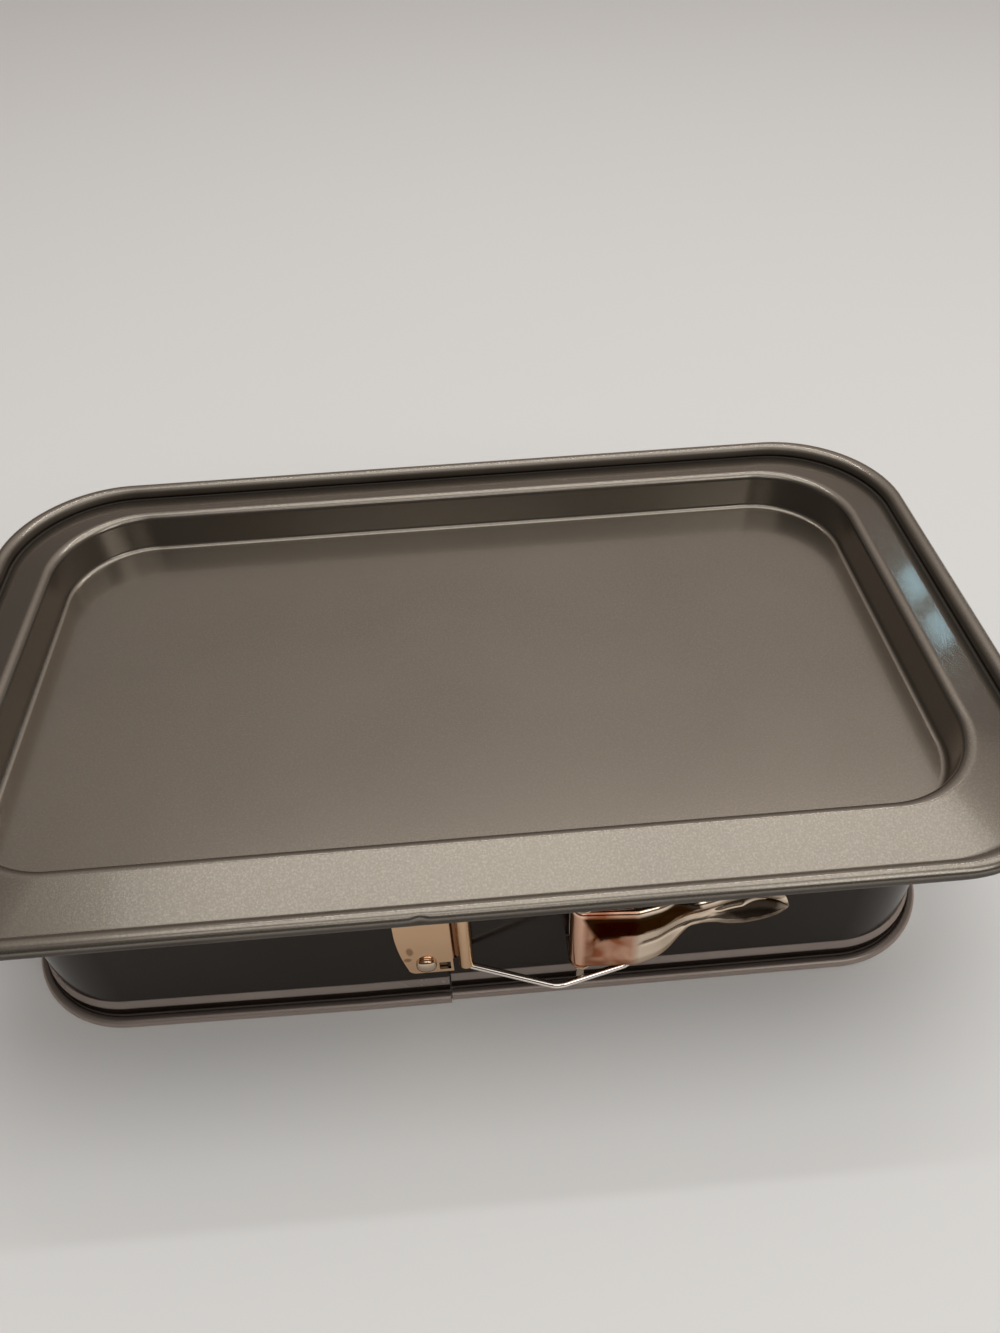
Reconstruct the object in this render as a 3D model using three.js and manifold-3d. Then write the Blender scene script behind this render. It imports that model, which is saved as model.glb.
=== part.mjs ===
// A rectangular springform pan, closed and standing upside down on the rolled edge of its ring.
// Millimetres, +Z up. The origin is under the middle of the pan, +X runs along its length and the
// clasp is on the -Y side. "Out" is a distance outwards from the step of the base tray, in plan.
import * as THREE from 'three';
import { mergeVertices } from 'three/addons/utils/BufferGeometryUtils.js';
import Module from 'manifold-3d';

const wasm = await Module();
wasm.setup();

// Driving dimensions of the whole pan
const TRAY_TOP = 79.9;
const STEP_HALF_LENGTH = 139.7;
const STEP_HALF_WIDTH = 76.3;
const STEP_CORNER = 29.1;
const SHEET = 0.6;
const FIT_GAP = 0.3;

// Base tray
const STEP_DEPTH = 14.1;
const STEP_DRAFT = 0.7;
const STEP_BEND = 1.5;
const FLOOR_BEND = 2.0;
const FLOOR_CAP_INSET = 8;
const RIM_SLOPE = THREE.MathUtils.degToRad(15.5);
const TRAY_BEAD_OUT = 21;
const TRAY_BEAD_DROP = 3.4;
const TRAY_BEAD_RADIUS = 2.7;
const TRAY_BEAD_CORNER = 40.1;
const TRAY_BEAD_TURN = 302;

// Ring
const RING_TOP = 76;
const RING_BEAD_RADIUS = 1.9;
const RING_BEAD_FACET = 20;
const RING_BEAD_FACETS = 14;
const SHOULDER_TOP = 10;
const SHOULDER_FOOT = 7.2;
const SHOULDER_STEP = 1;
const ARM_SEAM = 0.5;
const LAP_OFFSET = 0.95;
const LAP_SLANT_END = -40;
const LEFT_END = -11.7;
const RIGHT_END = -11.2;
const TONGUE_END = -27;
const TONGUE_LOW = 11;
const TONGUE_HIGH = 75;
const TONGUE_OVERLAP = 4;
const CORNER_STEPS = 7;

// A joined piece stays this far inside the faces that it joins, and holes are drilled right through.
const TRIM = 0.05;
const DRILL_LENGTH = 12;
const ROUND_SIDES = 16;

// Clasp, in its own frame: x along the wall, y up from its middle, z out from the ring's wall
const CLASP_HEIGHT = 42;
const PLATE_SHEET = 0.8;
const PLATE_HALF = 26.4;
const PLATE_LEFT = -26;
const PLATE_RIGHT = -9.8;
const PLATE_FOOT_LEFT = -20.9;
const PLATE_FOOT_ROUND = 2.5;
const PLATE_BULGE = 0.8;
const PLATE_NOTCH = { x: -12.3, y: -23, width: 3.4, height: 4 };
const SLEEVE = { x: -5.8, out: 3.45, half: 19.5 };
const SLEEVE_MID_RADIUS = 1.8;
const SLEEVE_TURN = 285;
const WIRE_RADIUS = 1;
const WIRE_LIMB = 20.8;
const WIRE_BEND = 2.4;
const WIRE_STEPS = 72;
const WIRE_APEX = { x: 20.5, out: 12.9 };
const EYE = { x: 42.2, out: 7.6 };
const PIVOT = { x: 27.6, out: 8 };
const LEVER_HALF = 14.2;
const LEVER_ROLL = 3;
const LEVER_BASE_RIGHT = 45.6;
const LEVER_CREST = 12;
const DISH_WIDTH = 0.75;
const EYE_HOLE = 1.4;
const PIN_RADIUS = 1.2;
const PIN_HOLE = 1.6;
const PIN_LOW = -25;
const PIN_HEAD = 2.1;
const PIN_HEAD_THICK = 1.8;
const PIN_CHAMFER = 0.3;
const BRACKET_SHEET = 0.8;
const BRACKET_LEFT = 25;
const BRACKET_RIGHT = 45;
const EAR_GAP = 0.4;
const EAR_RADIUS = 3.4;
const RIVET_SHANK = 1.5;
const RIVET_HOLE = 1.85;
const RIVET_HEAD = 3.1;
const RIVET_DOME = 2;
const CATCH_RIVET = { x: -17.8, y: 21.1 };
const BRACKET_RIVET = { x: 42, y: 8 };
const INNER_HEAD_THICK = 0.7;

// Faces of the sheets, as distances out from the tray's step
const RING_INNER = SHEET + FIT_GAP;
const RING_MID = RING_INNER + SHEET / 2;
const RING_OUTER = RING_INNER + SHEET;
const PLATE_BACK = LAP_OFFSET + FIT_GAP;
const PLATE_MID = PLATE_BACK + PLATE_SHEET / 2;

const trayCoat = new THREE.MeshStandardMaterial({ color: 0x6b6259, roughness: 0.45, metalness: 0.6 });
const ringCoat = new THREE.MeshStandardMaterial({ color: 0x2a2420, roughness: 0.18, metalness: 0.3 });
const plating = new THREE.MeshStandardMaterial({ color: 0xc9bdb2, roughness: 0.12, metalness: 1 });

const vec2 = (x, y) => new THREE.Vector2(x, y);
const vec3 = (x, y, z) => new THREE.Vector3(x, y, z);

// Points along an arc in degrees, both ends included.
function arc(centreX, centreY, radius, from, to, steps) {
  return Array.from({ length: steps + 1 }, (_, i) => {
    const angle = THREE.MathUtils.degToRad(from + (to - from) * i / steps);
    return vec2(centreX + radius * Math.cos(angle), centreY + radius * Math.sin(angle));
  });
}

// The closed outline of a bent sheet: its middle line moved half the thickness to each side.
function sheetOutline(middle, thickness) {
  const normals = middle.map((_, i) => {
    const before = middle[Math.max(i - 1, 0)];
    const after = middle[Math.min(i + 1, middle.length - 1)];
    const along = after.clone().sub(before).normalize();
    return vec2(-along.y, along.x);
  });
  const side = (sign) => middle.map((p, i) => p.clone().addScaledVector(normals[i], sign * thickness / 2));
  return [...side(1), ...side(-1).reverse()];
}

// A closed skin over a row of rings that have the same number of points. The outline gives the
// ring's flat shape, for filling the first and the last one.
function skin(rings, outline) {
  const count = outline.length;
  const position = rings.flat().flatMap((p) => [p.x, p.y, p.z]);
  const index = [];
  for (let r = 0; r + 1 < rings.length; r++) {
    for (let i = 0; i < count; i++) {
      const next = (i + 1) % count;
      const a = r * count + i;
      const b = r * count + next;
      index.push(a, b, b + count, a, b + count, a + count);
    }
  }
  const last = (rings.length - 1) * count;
  const flip = THREE.ShapeUtils.isClockWise(outline);
  for (const [a, b, c] of THREE.ShapeUtils.triangulateShape(outline, [])) {
    const [second, third] = flip ? [b, c] : [c, b];
    index.push(a, second, third, last + a, last + third, last + second);
  }
  const geometry = new THREE.BufferGeometry();
  geometry.setAttribute('position', new THREE.Float32BufferAttribute(position, 3));
  geometry.setIndex(index);
  return facingOut(geometry);
}

const turned = (index) => index.map((_, i) => index[i - i % 3 + [0, 2, 1][i % 3]]);

// Turns the faces round where the enclosed volume comes out negative.
function facingOut(geometry) {
  const p = geometry.attributes.position;
  const index = Array.from(geometry.index.array);
  const corner = (i) => new THREE.Vector3().fromBufferAttribute(p, index[i]);
  let volume = 0;
  for (let i = 0; i < index.length; i += 3) {
    volume += corner(i).dot(corner(i + 1).cross(corner(i + 2)));
  }
  geometry.setIndex(volume < 0 ? turned(index) : index);
  return geometry;
}

// Solids for joining and cutting, and back.
function solid(geometry) {
  const plain = geometry.clone();
  plain.deleteAttribute('normal');
  plain.deleteAttribute('uv');
  const merged = mergeVertices(plain);
  const vertProperties = new Float32Array(merged.attributes.position.array);
  const triVerts = new Uint32Array(merged.index.array);
  return new wasm.Manifold(new wasm.Mesh({ numProp: 3, vertProperties, triVerts }));
}

function geometryOf(manifold) {
  const mesh = manifold.getMesh();
  const geometry = new THREE.BufferGeometry();
  geometry.setAttribute('position', new THREE.BufferAttribute(mesh.vertProperties, 3));
  geometry.setIndex(new THREE.BufferAttribute(mesh.triVerts, 1));
  return geometry;
}

const join = (...parts) => parts.map(solid).reduce((all, part) => all.add(part));
const cut = (body, ...tools) => tools.reduce((left, tool) => left.subtract(solid(tool)), body);

function mesh(name, geometry, material) {
  geometry.computeVertexNormals();
  const piece = new THREE.Mesh(geometry, material);
  piece.name = name;
  return piece;
}

// The tray's outline at a distance out from the step. The corners open out less than the sides do.
function trayOutline(out) {
  const corner = STEP_CORNER + out * (TRAY_BEAD_CORNER - STEP_CORNER) / TRAY_BEAD_OUT;
  const x = STEP_HALF_LENGTH + out - corner;
  const y = STEP_HALF_WIDTH + out - corner;
  const corners = [[x, y, 0], [-x, y, 90], [-x, -y, 180], [x, -y, 270]];
  return corners.flatMap(([cx, cy, from]) => arc(cx, cy, corner, from, from + 90, CORNER_STEPS));
}

// Base tray: floor, step, sloping rim and rolled edge in one pressed sheet. The middle line of the
// sheet runs from the floor outwards.
function baseTray() {
  const half = SHEET / 2;
  const floor = TRAY_TOP - STEP_DEPTH - half;
  const beadMid = TRAY_BEAD_RADIUS - half;
  const beadHeight = TRAY_TOP - TRAY_BEAD_DROP;
  const lean = THREE.MathUtils.radToDeg(RIM_SLOPE);
  const floorBend = arc(half - STEP_DRAFT - FLOOR_BEND, floor + FLOOR_BEND, FLOOR_BEND, -90, 0, 4);
  const stepBend = arc(half + STEP_BEND, TRAY_TOP - half - STEP_BEND, STEP_BEND, 180, 90 - lean, 4);
  const bead = arc(TRAY_BEAD_OUT, beadHeight, beadMid, 270 - lean, 270 - lean + TRAY_BEAD_TURN, 14);
  const middle = [vec2(-FLOOR_CAP_INSET, floor), ...floorBend, ...stepBend, ...bead];
  const section = sheetOutline(middle, SHEET);
  const rings = section.map(({ x, y }) => trayOutline(x).map((p) => vec3(p.x, p.y, y)));
  return skin(rings, trayOutline(-FLOOR_CAP_INSET));
}

// The ring's section, from the plain edge under the tray down to the rolled bead that it stands on.
// One facet of the bead lies flat on the table.
function ringSection() {
  const beadMid = RING_BEAD_RADIUS - SHEET / 2;
  const foot = RING_MID + SHOULDER_STEP;
  const lift = RING_BEAD_RADIUS * Math.cos(THREE.MathUtils.degToRad(RING_BEAD_FACET / 2));
  const rise = SHOULDER_TOP - SHOULDER_FOOT;
  const shoulder = [[0, 0], [0.15, 0.35], [0.85, 0.65], [1, 1]].map(
    ([out, down]) => vec2(RING_MID + SHOULDER_STEP * out, SHOULDER_TOP - rise * down));
  const turn = RING_BEAD_FACET * RING_BEAD_FACETS;
  const bead = arc(foot + beadMid, lift, beadMid, 180, 180 + turn, RING_BEAD_FACETS);
  return sheetOutline([vec2(RING_MID, RING_TOP), ...shoulder, ...bead], SHEET);
}

// A length of the ring: the section carried along stations, each a point on the step's outline with
// its outward direction and any extra distance out.
function ringLength(stations) {
  const section = ringSection();
  const rings = stations.map(({ x, y, nx, ny, extra = 0 }) => section.map(
    (p) => vec3(x + nx * (p.x + extra), y + ny * (p.x + extra), p.y)));
  return skin(rings, section);
}

// Stations round one corner of the step, where the outward direction turns through 90 degrees.
function cornerStations(sideX, sideY, from, to) {
  const x = sideX * (STEP_HALF_LENGTH - STEP_CORNER);
  const y = sideY * (STEP_HALF_WIDTH - STEP_CORNER);
  return arc(0, 0, 1, from, to, CORNER_STEPS).map(
    (n) => ({ x: x + STEP_CORNER * n.x, y: y + STEP_CORNER * n.y, nx: n.x, ny: n.y }));
}

const backStation = (x) => ({ x, y: STEP_HALF_WIDTH, nx: 0, ny: 1 });
const frontStation = (x, extra = 0) => ({ x, y: -STEP_HALF_WIDTH, nx: 0, ny: -1, extra });
const SEAM_X = STEP_HALF_LENGTH - STEP_CORNER;

function ringBackWall() {
  const end = SEAM_X - ARM_SEAM;
  return ringLength([backStation(-end), backStation(end)]);
}

// The left arm's front wall slants out, so that its end laps over the right arm's tongue.
function ringLeftArm() {
  const body = ringLength([
    ...cornerStations(-1, 1, 90, 180), ...cornerStations(-1, -1, 180, 270),
    frontStation(LAP_SLANT_END, LAP_OFFSET), frontStation(LEFT_END, LAP_OFFSET)]);
  const holes = [-1, 1].map((side) => drill(CATCH_RIVET.x, side * CATCH_RIVET.y, RIVET_HOLE));
  return geometryOf(cut(solid(body), ...holes));
}

function ringRightArm() {
  const body = ringLength([
    ...cornerStations(1, 1, 90, 0), ...cornerStations(1, -1, 0, -90), frontStation(RIGHT_END)]);
  const reach = RIGHT_END + TONGUE_OVERLAP - TONGUE_END;
  const tongue = new THREE.BoxGeometry(reach, SHEET - 2 * TRIM, TONGUE_HIGH - TONGUE_LOW);
  tongue.translate(TONGUE_END + reach / 2, -STEP_HALF_WIDTH - RING_MID, (TONGUE_HIGH + TONGUE_LOW) / 2);
  const holes = [-1, 1].map((side) => drill(BRACKET_RIVET.x, side * BRACKET_RIVET.y, RIVET_HOLE));
  return geometryOf(cut(join(body, tongue), ...holes));
}

// A drill through the front wall, in the pan's frame, at a place given in the clasp's frame.
function drill(x, y, radius) {
  const tool = new THREE.CylinderGeometry(radius, radius, DRILL_LENGTH, ROUND_SIDES);
  return tool.translate(x, -STEP_HALF_WIDTH - RING_OUTER, CLASP_HEIGHT + y);
}

// An upright prism in the clasp's frame from a plan outline in x and out.
function upright(shape, low, high, curveSegments = 6) {
  const options = { depth: high - low, bevelEnabled: false, curveSegments };
  return new THREE.ExtrudeGeometry(shape, options).rotateX(Math.PI / 2).translate(0, high, 0);
}

// Catch plate: a tall D-shaped plate with a sleeve rolled from its straight edge.
function catchPlate() {
  const side = PLATE_LEFT - PLATE_BULGE;
  const corner = PLATE_FOOT_LEFT - PLATE_FOOT_ROUND;
  const shoulder = PLATE_HALF - PLATE_FOOT_ROUND;
  const outline = new THREE.Shape();
  outline.moveTo(PLATE_RIGHT, -PLATE_HALF);
  outline.lineTo(PLATE_RIGHT, PLATE_HALF);
  outline.lineTo(PLATE_FOOT_LEFT, PLATE_HALF);
  outline.quadraticCurveTo(corner, PLATE_HALF, corner, shoulder);
  outline.quadraticCurveTo(side, PLATE_HALF / 2, PLATE_LEFT, 0);
  outline.quadraticCurveTo(side, -PLATE_HALF / 2, corner, -shoulder);
  outline.quadraticCurveTo(corner, -PLATE_HALF, PLATE_FOOT_LEFT, -PLATE_HALF);
  const flat = { depth: PLATE_SHEET, bevelEnabled: false, curveSegments: 6 };
  const plate = new THREE.ExtrudeGeometry(outline, flat).translate(0, 0, PLATE_BACK);
  const roll = arc(SLEEVE.x, SLEEVE.out, SLEEVE_MID_RADIUS, -90, SLEEVE_TURN - 90, 14);
  const strip = sheetOutline([vec2(PLATE_RIGHT - 1, PLATE_MID), ...roll], PLATE_SHEET - TRIM);
  const sleeve = upright(new THREE.Shape(strip), -SLEEVE.half, SLEEVE.half);
  const holes = [-1, 1].map((side) => bored(CATCH_RIVET.x, side * CATCH_RIVET.y, RIVET_HOLE));
  const { width, height, x, y } = PLATE_NOTCH;
  const notch = new THREE.BoxGeometry(width, height, DRILL_LENGTH).translate(x, y, 0);
  return geometryOf(cut(join(facingOut(indexed(plate)), facingOut(indexed(sleeve))), ...holes, notch));
}

// A drill along the clasp's own z axis.
function bored(x, y, radius) {
  const tool = new THREE.CylinderGeometry(radius, radius, DRILL_LENGTH, ROUND_SIDES);
  return tool.rotateX(Math.PI / 2).translate(x, y, 0);
}

function indexed(geometry) {
  const plain = geometry.clone();
  plain.deleteAttribute('normal');
  plain.deleteAttribute('uv');
  return mergeVertices(plain);
}

// A rivet turned about its axis: domed head outside, and an inner end that is flush or headed.
function rivet(headFoot, innerEnd, innerHead) {
  const dome = arc(0, headFoot, 1, 0, 90, 4).map(
    (p) => vec2(RIVET_HEAD * p.x, headFoot + RIVET_DOME * (p.y - headFoot)));
  dome[dome.length - 1].x = 0;
  const inner = innerHead
    ? [vec2(0, innerEnd), vec2(RIVET_HEAD, innerEnd), vec2(RIVET_HEAD, innerEnd + INNER_HEAD_THICK),
      vec2(RIVET_SHANK, innerEnd + INNER_HEAD_THICK)]
    : [vec2(0, innerEnd), vec2(RIVET_SHANK, innerEnd)];
  const profile = [...inner, vec2(RIVET_SHANK, headFoot), ...dome];
  return facingOut(indexed(new THREE.LatheGeometry(profile, ROUND_SIDES).rotateX(Math.PI / 2)));
}

// Wire bail: a long leg in the sleeve, two limbs bent out in a V to pass the pivot, and two tips
// turned in under the lever's eyes.
function wireBail() {
  const tip = LEVER_HALF + FIT_GAP;
  const half = [[EYE, tip], [EYE, WIRE_LIMB], [WIRE_APEX, WIRE_LIMB], [SLEEVE, WIRE_LIMB]];
  const upper = half.map(([place, y]) => vec3(place.x, y, place.out));
  const lower = half.map(([place, y]) => vec3(place.x, -y, place.out)).reverse();
  const corners = [...upper, ...lower];
  const toward = (from, to) => from.clone().add(to.clone().sub(from).setLength(WIRE_BEND));
  const path = new THREE.CurvePath();
  let start = corners[0];
  for (let i = 1; i + 1 < corners.length; i++) {
    const into = toward(corners[i], corners[i - 1]);
    const out = toward(corners[i], corners[i + 1]);
    path.add(new THREE.LineCurve3(start, into));
    path.add(new THREE.QuadraticBezierCurve3(into, corners[i], out));
    start = out;
  }
  path.add(new THREE.LineCurve3(start, corners[corners.length - 1]));
  const round = new THREE.Shape(arc(0, 0, WIRE_RADIUS, 0, 315, 7));
  return facingOut(indexed(new THREE.ExtrudeGeometry(round, { steps: WIRE_STEPS, extrudePath: path })));
}

// Lever: a web rolled round the pivot at its left end, which narrows to a neck and opens again into
// a thumb end, with a flange above and below that turns on the pin and holds the wire. Each station
// along it has its distance out, its half height and how deep its middle is dished.
function leverStations() {
  const roll = arc(PIVOT.x, PIVOT.out, LEVER_ROLL, 195, 90, 5);
  const run = [
    { x: 31, out: 11.2, half: LEVER_HALF, dish: 0.8 },
    { x: 33.5, out: 11.5, half: LEVER_HALF, dish: 1.4 },
    { x: 42, out: LEVER_CREST, half: LEVER_HALF, dish: 1.6 },
    { x: LEVER_BASE_RIGHT, out: 11.5, half: LEVER_HALF, dish: 1.5 },
    { x: 50, out: 10.2, half: 13.6, dish: 1.4 },
    { x: 53, out: 8.7, half: 12.4, dish: 1.3 },
    { x: 55.8, out: 7.3, half: 9, dish: 1.1 },
    { x: 58.5, out: 6.2, half: 6.4, dish: 1 },
    { x: 62, out: 5.4, half: 5.8, dish: 1 },
    { x: 66.5, out: 4.6, half: 6.6, dish: 1.6 },
    { x: 71, out: 4.1, half: 8.3, dish: 2.3 },
    { x: 75, out: 3.9, half: 9, dish: 2.6 },
    { x: 79, out: 3.8, half: 8.5, dish: 2.4 },
    { x: 83, out: 3.9, half: 6.8, dish: 1.6 },
    { x: 86, out: 4.1, half: 4, dish: 0.5 },
    { x: 87.4, out: 4.2, half: 1.6, dish: 0 }];
  return [...roll.map((p) => ({ x: p.x, out: p.y, half: LEVER_HALF, dish: 0 })), ...run];
}

function claspLever() {
  const stations = leverStations();
  const strip = sheetOutline(stations.map(({ x, out }) => vec2(x, out)), PLATE_SHEET);
  const last = strip.length - 1;
  const across = [-1, -DISH_WIDTH, 0, DISH_WIDTH, 1];
  const depth = (a) => Math.max(0, 1 - Math.abs(a) / DISH_WIDTH);
  const rings = stations.map(({ half, dish }, i) => {
    const side = (p) => across.map((a) => vec3(p.x, half * a, p.y - dish * depth(a)));
    return [...side(strip[i]), ...side(strip[last - i]).reverse()];
  });
  const section = [...across.map((a) => vec2(a, 1)), ...across.map((a) => vec2(-a, 0))];
  const web = skin(rings, section);
  return geometryOf(join(web, leverFlange(-LEVER_HALF), leverFlange(LEVER_HALF - PLATE_SHEET)));
}

function leverFlange(low) {
  const front = PIVOT.out + LEVER_ROLL;
  const outline = new THREE.Shape();
  outline.moveTo(PIVOT.x, front);
  outline.lineTo(EYE.x, LEVER_CREST);
  outline.lineTo(LEVER_BASE_RIGHT, LEVER_CREST - PLATE_SHEET / 2);
  outline.lineTo(LEVER_BASE_RIGHT, EYE.out);
  outline.absarc(EYE.x, EYE.out, LEVER_BASE_RIGHT - EYE.x, 0, -Math.PI / 2, true);
  outline.absarc(PIVOT.x, PIVOT.out, LEVER_ROLL, -Math.PI / 2, -Math.PI * 1.5, true);
  for (const [hole, radius] of [[PIVOT, PIN_HOLE], [EYE, EYE_HOLE]]) {
    outline.holes.push(new THREE.Path().absarc(hole.x, hole.out, radius, 0, Math.PI * 2));
  }
  return facingOut(indexed(upright(outline, low, low + PLATE_SHEET)));
}

// Pivot bracket: a plate on the wall with two round ears that carry the pin.
function pivotBracket() {
  const ear = LEVER_HALF + EAR_GAP;
  const top = ear + BRACKET_SHEET;
  const middle = (BRACKET_LEFT + BRACKET_RIGHT) / 2;
  const plate = new THREE.BoxGeometry(BRACKET_RIGHT - BRACKET_LEFT, 2 * top, BRACKET_SHEET);
  plate.translate(middle, 0, FIT_GAP + BRACKET_SHEET / 2);
  const outline = new THREE.Shape();
  outline.moveTo(PIVOT.x - EAR_RADIUS, FIT_GAP + TRIM);
  outline.lineTo(PIVOT.x + EAR_RADIUS, FIT_GAP + TRIM);
  outline.lineTo(PIVOT.x + EAR_RADIUS, PIVOT.out);
  outline.absarc(PIVOT.x, PIVOT.out, EAR_RADIUS, 0, Math.PI);
  outline.holes.push(new THREE.Path().absarc(PIVOT.x, PIVOT.out, PIN_HOLE, 0, Math.PI * 2));
  const ears = [-top + TRIM, ear].map(
    (low) => facingOut(indexed(upright(outline, low, low + BRACKET_SHEET - TRIM))));
  const holes = [-1, 1].map((side) => bored(BRACKET_RIVET.x, side * BRACKET_RIVET.y, RIVET_HOLE));
  return geometryOf(cut(join(plate, ...ears), ...holes));
}

// Pivot pin: headed above the upper ear, with a long plain end below the lower one.
function pivotPin() {
  const seat = LEVER_HALF + EAR_GAP + BRACKET_SHEET + FIT_GAP;
  const top = seat + PIN_HEAD_THICK;
  const profile = [
    vec2(0, PIN_LOW), vec2(PIN_RADIUS - PIN_CHAMFER, PIN_LOW), vec2(PIN_RADIUS, PIN_LOW + PIN_CHAMFER),
    vec2(PIN_RADIUS, seat), vec2(PIN_HEAD, seat), vec2(PIN_HEAD, top - 2 * PIN_CHAMFER),
    vec2(PIN_HEAD - 2 * PIN_CHAMFER, top), vec2(0, top)];
  const pin = new THREE.LatheGeometry(profile, ROUND_SIDES);
  return facingOut(indexed(pin)).translate(PIVOT.x, 0, PIVOT.out);
}

const tray = new THREE.Group();
tray.add(mesh('base_tray', baseTray(), trayCoat));

const ring = new THREE.Group();
ring.add(
  mesh('ring_back_wall', ringBackWall(), ringCoat),
  mesh('ring_left_arm', ringLeftArm(), ringCoat),
  mesh('ring_right_arm', ringRightArm(), ringCoat));

const clasp = new THREE.Group();
clasp.position.set(0, -STEP_HALF_WIDTH - RING_OUTER, CLASP_HEIGHT);
clasp.rotation.x = Math.PI / 2;
clasp.add(
  mesh('catch_plate', catchPlate(), plating),
  mesh('wire_bail', wireBail(), plating),
  mesh('clasp_lever', claspLever(), plating),
  mesh('pivot_bracket', pivotBracket(), plating),
  mesh('pivot_pin', pivotPin(), plating));

const catchSeat = PLATE_BACK + PLATE_SHEET + FIT_GAP;
const bracketSeat = FIT_GAP + BRACKET_SHEET + FIT_GAP;
const flushEnd = LAP_OFFSET - SHEET + 2 * TRIM;
const innerEnd = -SHEET - FIT_GAP - INNER_HEAD_THICK;
for (const [side, place] of [[-1, 'lower'], [1, 'upper']]) {
  const catchRivet = mesh(`catch_rivet_${place}`, rivet(catchSeat, flushEnd, false), plating);
  catchRivet.position.set(CATCH_RIVET.x, side * CATCH_RIVET.y, 0);
  const bracketRivet = mesh(`bracket_rivet_${place}`, rivet(bracketSeat, innerEnd, true), plating);
  bracketRivet.position.set(BRACKET_RIVET.x, side * BRACKET_RIVET.y, 0);
  clasp.add(catchRivet, bracketRivet);
}

const pan = new THREE.Group();
pan.add(tray, ring, clasp);

export default pan;
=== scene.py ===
import bmesh
import bpy
import numpy as np
from mathutils import Matrix, Vector


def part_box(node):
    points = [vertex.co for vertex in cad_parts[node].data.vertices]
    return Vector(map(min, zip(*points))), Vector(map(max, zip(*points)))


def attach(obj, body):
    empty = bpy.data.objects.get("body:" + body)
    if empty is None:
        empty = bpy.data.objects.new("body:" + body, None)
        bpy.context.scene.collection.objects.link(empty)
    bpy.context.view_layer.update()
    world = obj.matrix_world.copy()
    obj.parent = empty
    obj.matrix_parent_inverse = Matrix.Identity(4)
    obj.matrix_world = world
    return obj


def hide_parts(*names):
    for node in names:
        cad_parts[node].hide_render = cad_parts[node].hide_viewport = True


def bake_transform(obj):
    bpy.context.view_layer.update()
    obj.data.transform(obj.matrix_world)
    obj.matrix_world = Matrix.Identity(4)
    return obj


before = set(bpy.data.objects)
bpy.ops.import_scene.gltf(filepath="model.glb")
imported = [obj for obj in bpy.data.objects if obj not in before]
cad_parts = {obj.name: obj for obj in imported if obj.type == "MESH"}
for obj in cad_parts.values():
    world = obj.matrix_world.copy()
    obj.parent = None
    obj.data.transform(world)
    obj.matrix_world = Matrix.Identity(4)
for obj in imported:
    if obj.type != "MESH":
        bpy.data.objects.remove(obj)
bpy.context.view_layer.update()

# Ring: one strip of spring steel under a glossy dark baked coat, plain at the edge under the tray and
# rolled into a bead at the edge that the pan stands on. It is drawn as two halves that meet at the
# middle of the back and go round the back corners; the left end laps over a tongue on the right end.
MM = 0.001


def node_box(node):
    """A node's lowest and highest corner at rest, in millimetres."""
    return [np.array(corner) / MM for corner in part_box(node)]


SHEET = 0.6
FIT_GAP = 0.3
ARM_SEAM = 0.5
back_low, back_high = node_box("ring_back_wall")
right_low, right_high = node_box("ring_right_arm")
STEP_HALF_WIDTH = back_low[1] - SHEET - FIT_GAP
STEP_HALF_LENGTH = right_high[0] - back_high[1] + STEP_HALF_WIDTH
STEP_CORNER = STEP_HALF_LENGTH - ARM_SEAM - back_high[0]
SEAM_X = STEP_HALF_LENGTH - STEP_CORNER
RING_TOP = back_high[2]
RING_MID = FIT_GAP + 1.5 * SHEET
RING_BEAD = 1.9
RING_BEAD_TURN = 280
SHOULDER_TOP = 10.0
SHOULDER_FOOT = 7.2
SHOULDER_STEP = 1.0
LAP_OFFSET = 0.95
LAP_SLANT_END = -40.0
LEFT_END = node_box("ring_left_arm")[1][0]
RIGHT_END = -11.2
TONGUE_END = right_low[0]
TONGUE_LOW = 11.0
TONGUE_HIGH = 75.0
TONGUE_TRIM = 0.05
RING_BLACK = ((0.0110, 0.0078, 0.0058), (0.0180, 0.0126, 0.0094))
# Painted highlight: the shoulder and the bead are painted paler; they are also worn duller and partly bare.
RING_WEAR_AND_HIGHLIGHT = {"colour": (0.42, 0.36, 0.33), "metal": 0.6, "roughness": 0.36, "patchy": (0.6, 0.9)}
RING_GLOSS = {"roughness": (0.09, 0.17), "ior": 1.27, "sheen": (1.0, 0.80, 0.64),
              "fleck": 700.0, "bump": (0.06, 0.00004)}


def arc(x, y, radius, start, stop, steps):
    """Points on a circle: the centre plus radius times (cos, sin) of angles from start to stop in degrees."""
    angle = np.radians(np.linspace(start, stop, steps + 1))
    return np.stack([x + radius * np.cos(angle), y + radius * np.sin(angle)], -1)


def ease(t):
    """The S curve 3t^2 - 2t^3, with t held between 0 and 1."""
    t = np.clip(t, 0, 1)
    return t * t * (3 - 2 * t)


def unit(vectors):
    """Vectors drawn out or in to a length of one."""
    return vectors / np.linalg.norm(vectors, axis=-1, keepdims=True)


def sheet_section(middle, thickness):
    """Closed outline of a bent sheet: each point of the middle line moved half the thickness along its
    normal, to both sides, with the two edges of the sheet half round. Works on many lines at once."""
    along = unit(np.gradient(middle, axis=-2))
    normal = np.stack([-along[..., 1], along[..., 0]], -1)
    half = thickness / 2
    turn = np.radians(np.linspace(90, -90, 9)[1:-1])[:, None]
    last = np.cos(turn) * along[..., -1:, :] + np.sin(turn) * normal[..., -1:, :]
    first = np.cos(turn) * along[..., :1, :] + np.sin(turn) * normal[..., :1, :]
    return np.concatenate([
        middle + half * normal, middle[..., -1:, :] + half * last,
        (middle - half * normal)[..., ::-1, :], middle[..., :1, :] - half * first], -2)


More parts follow.
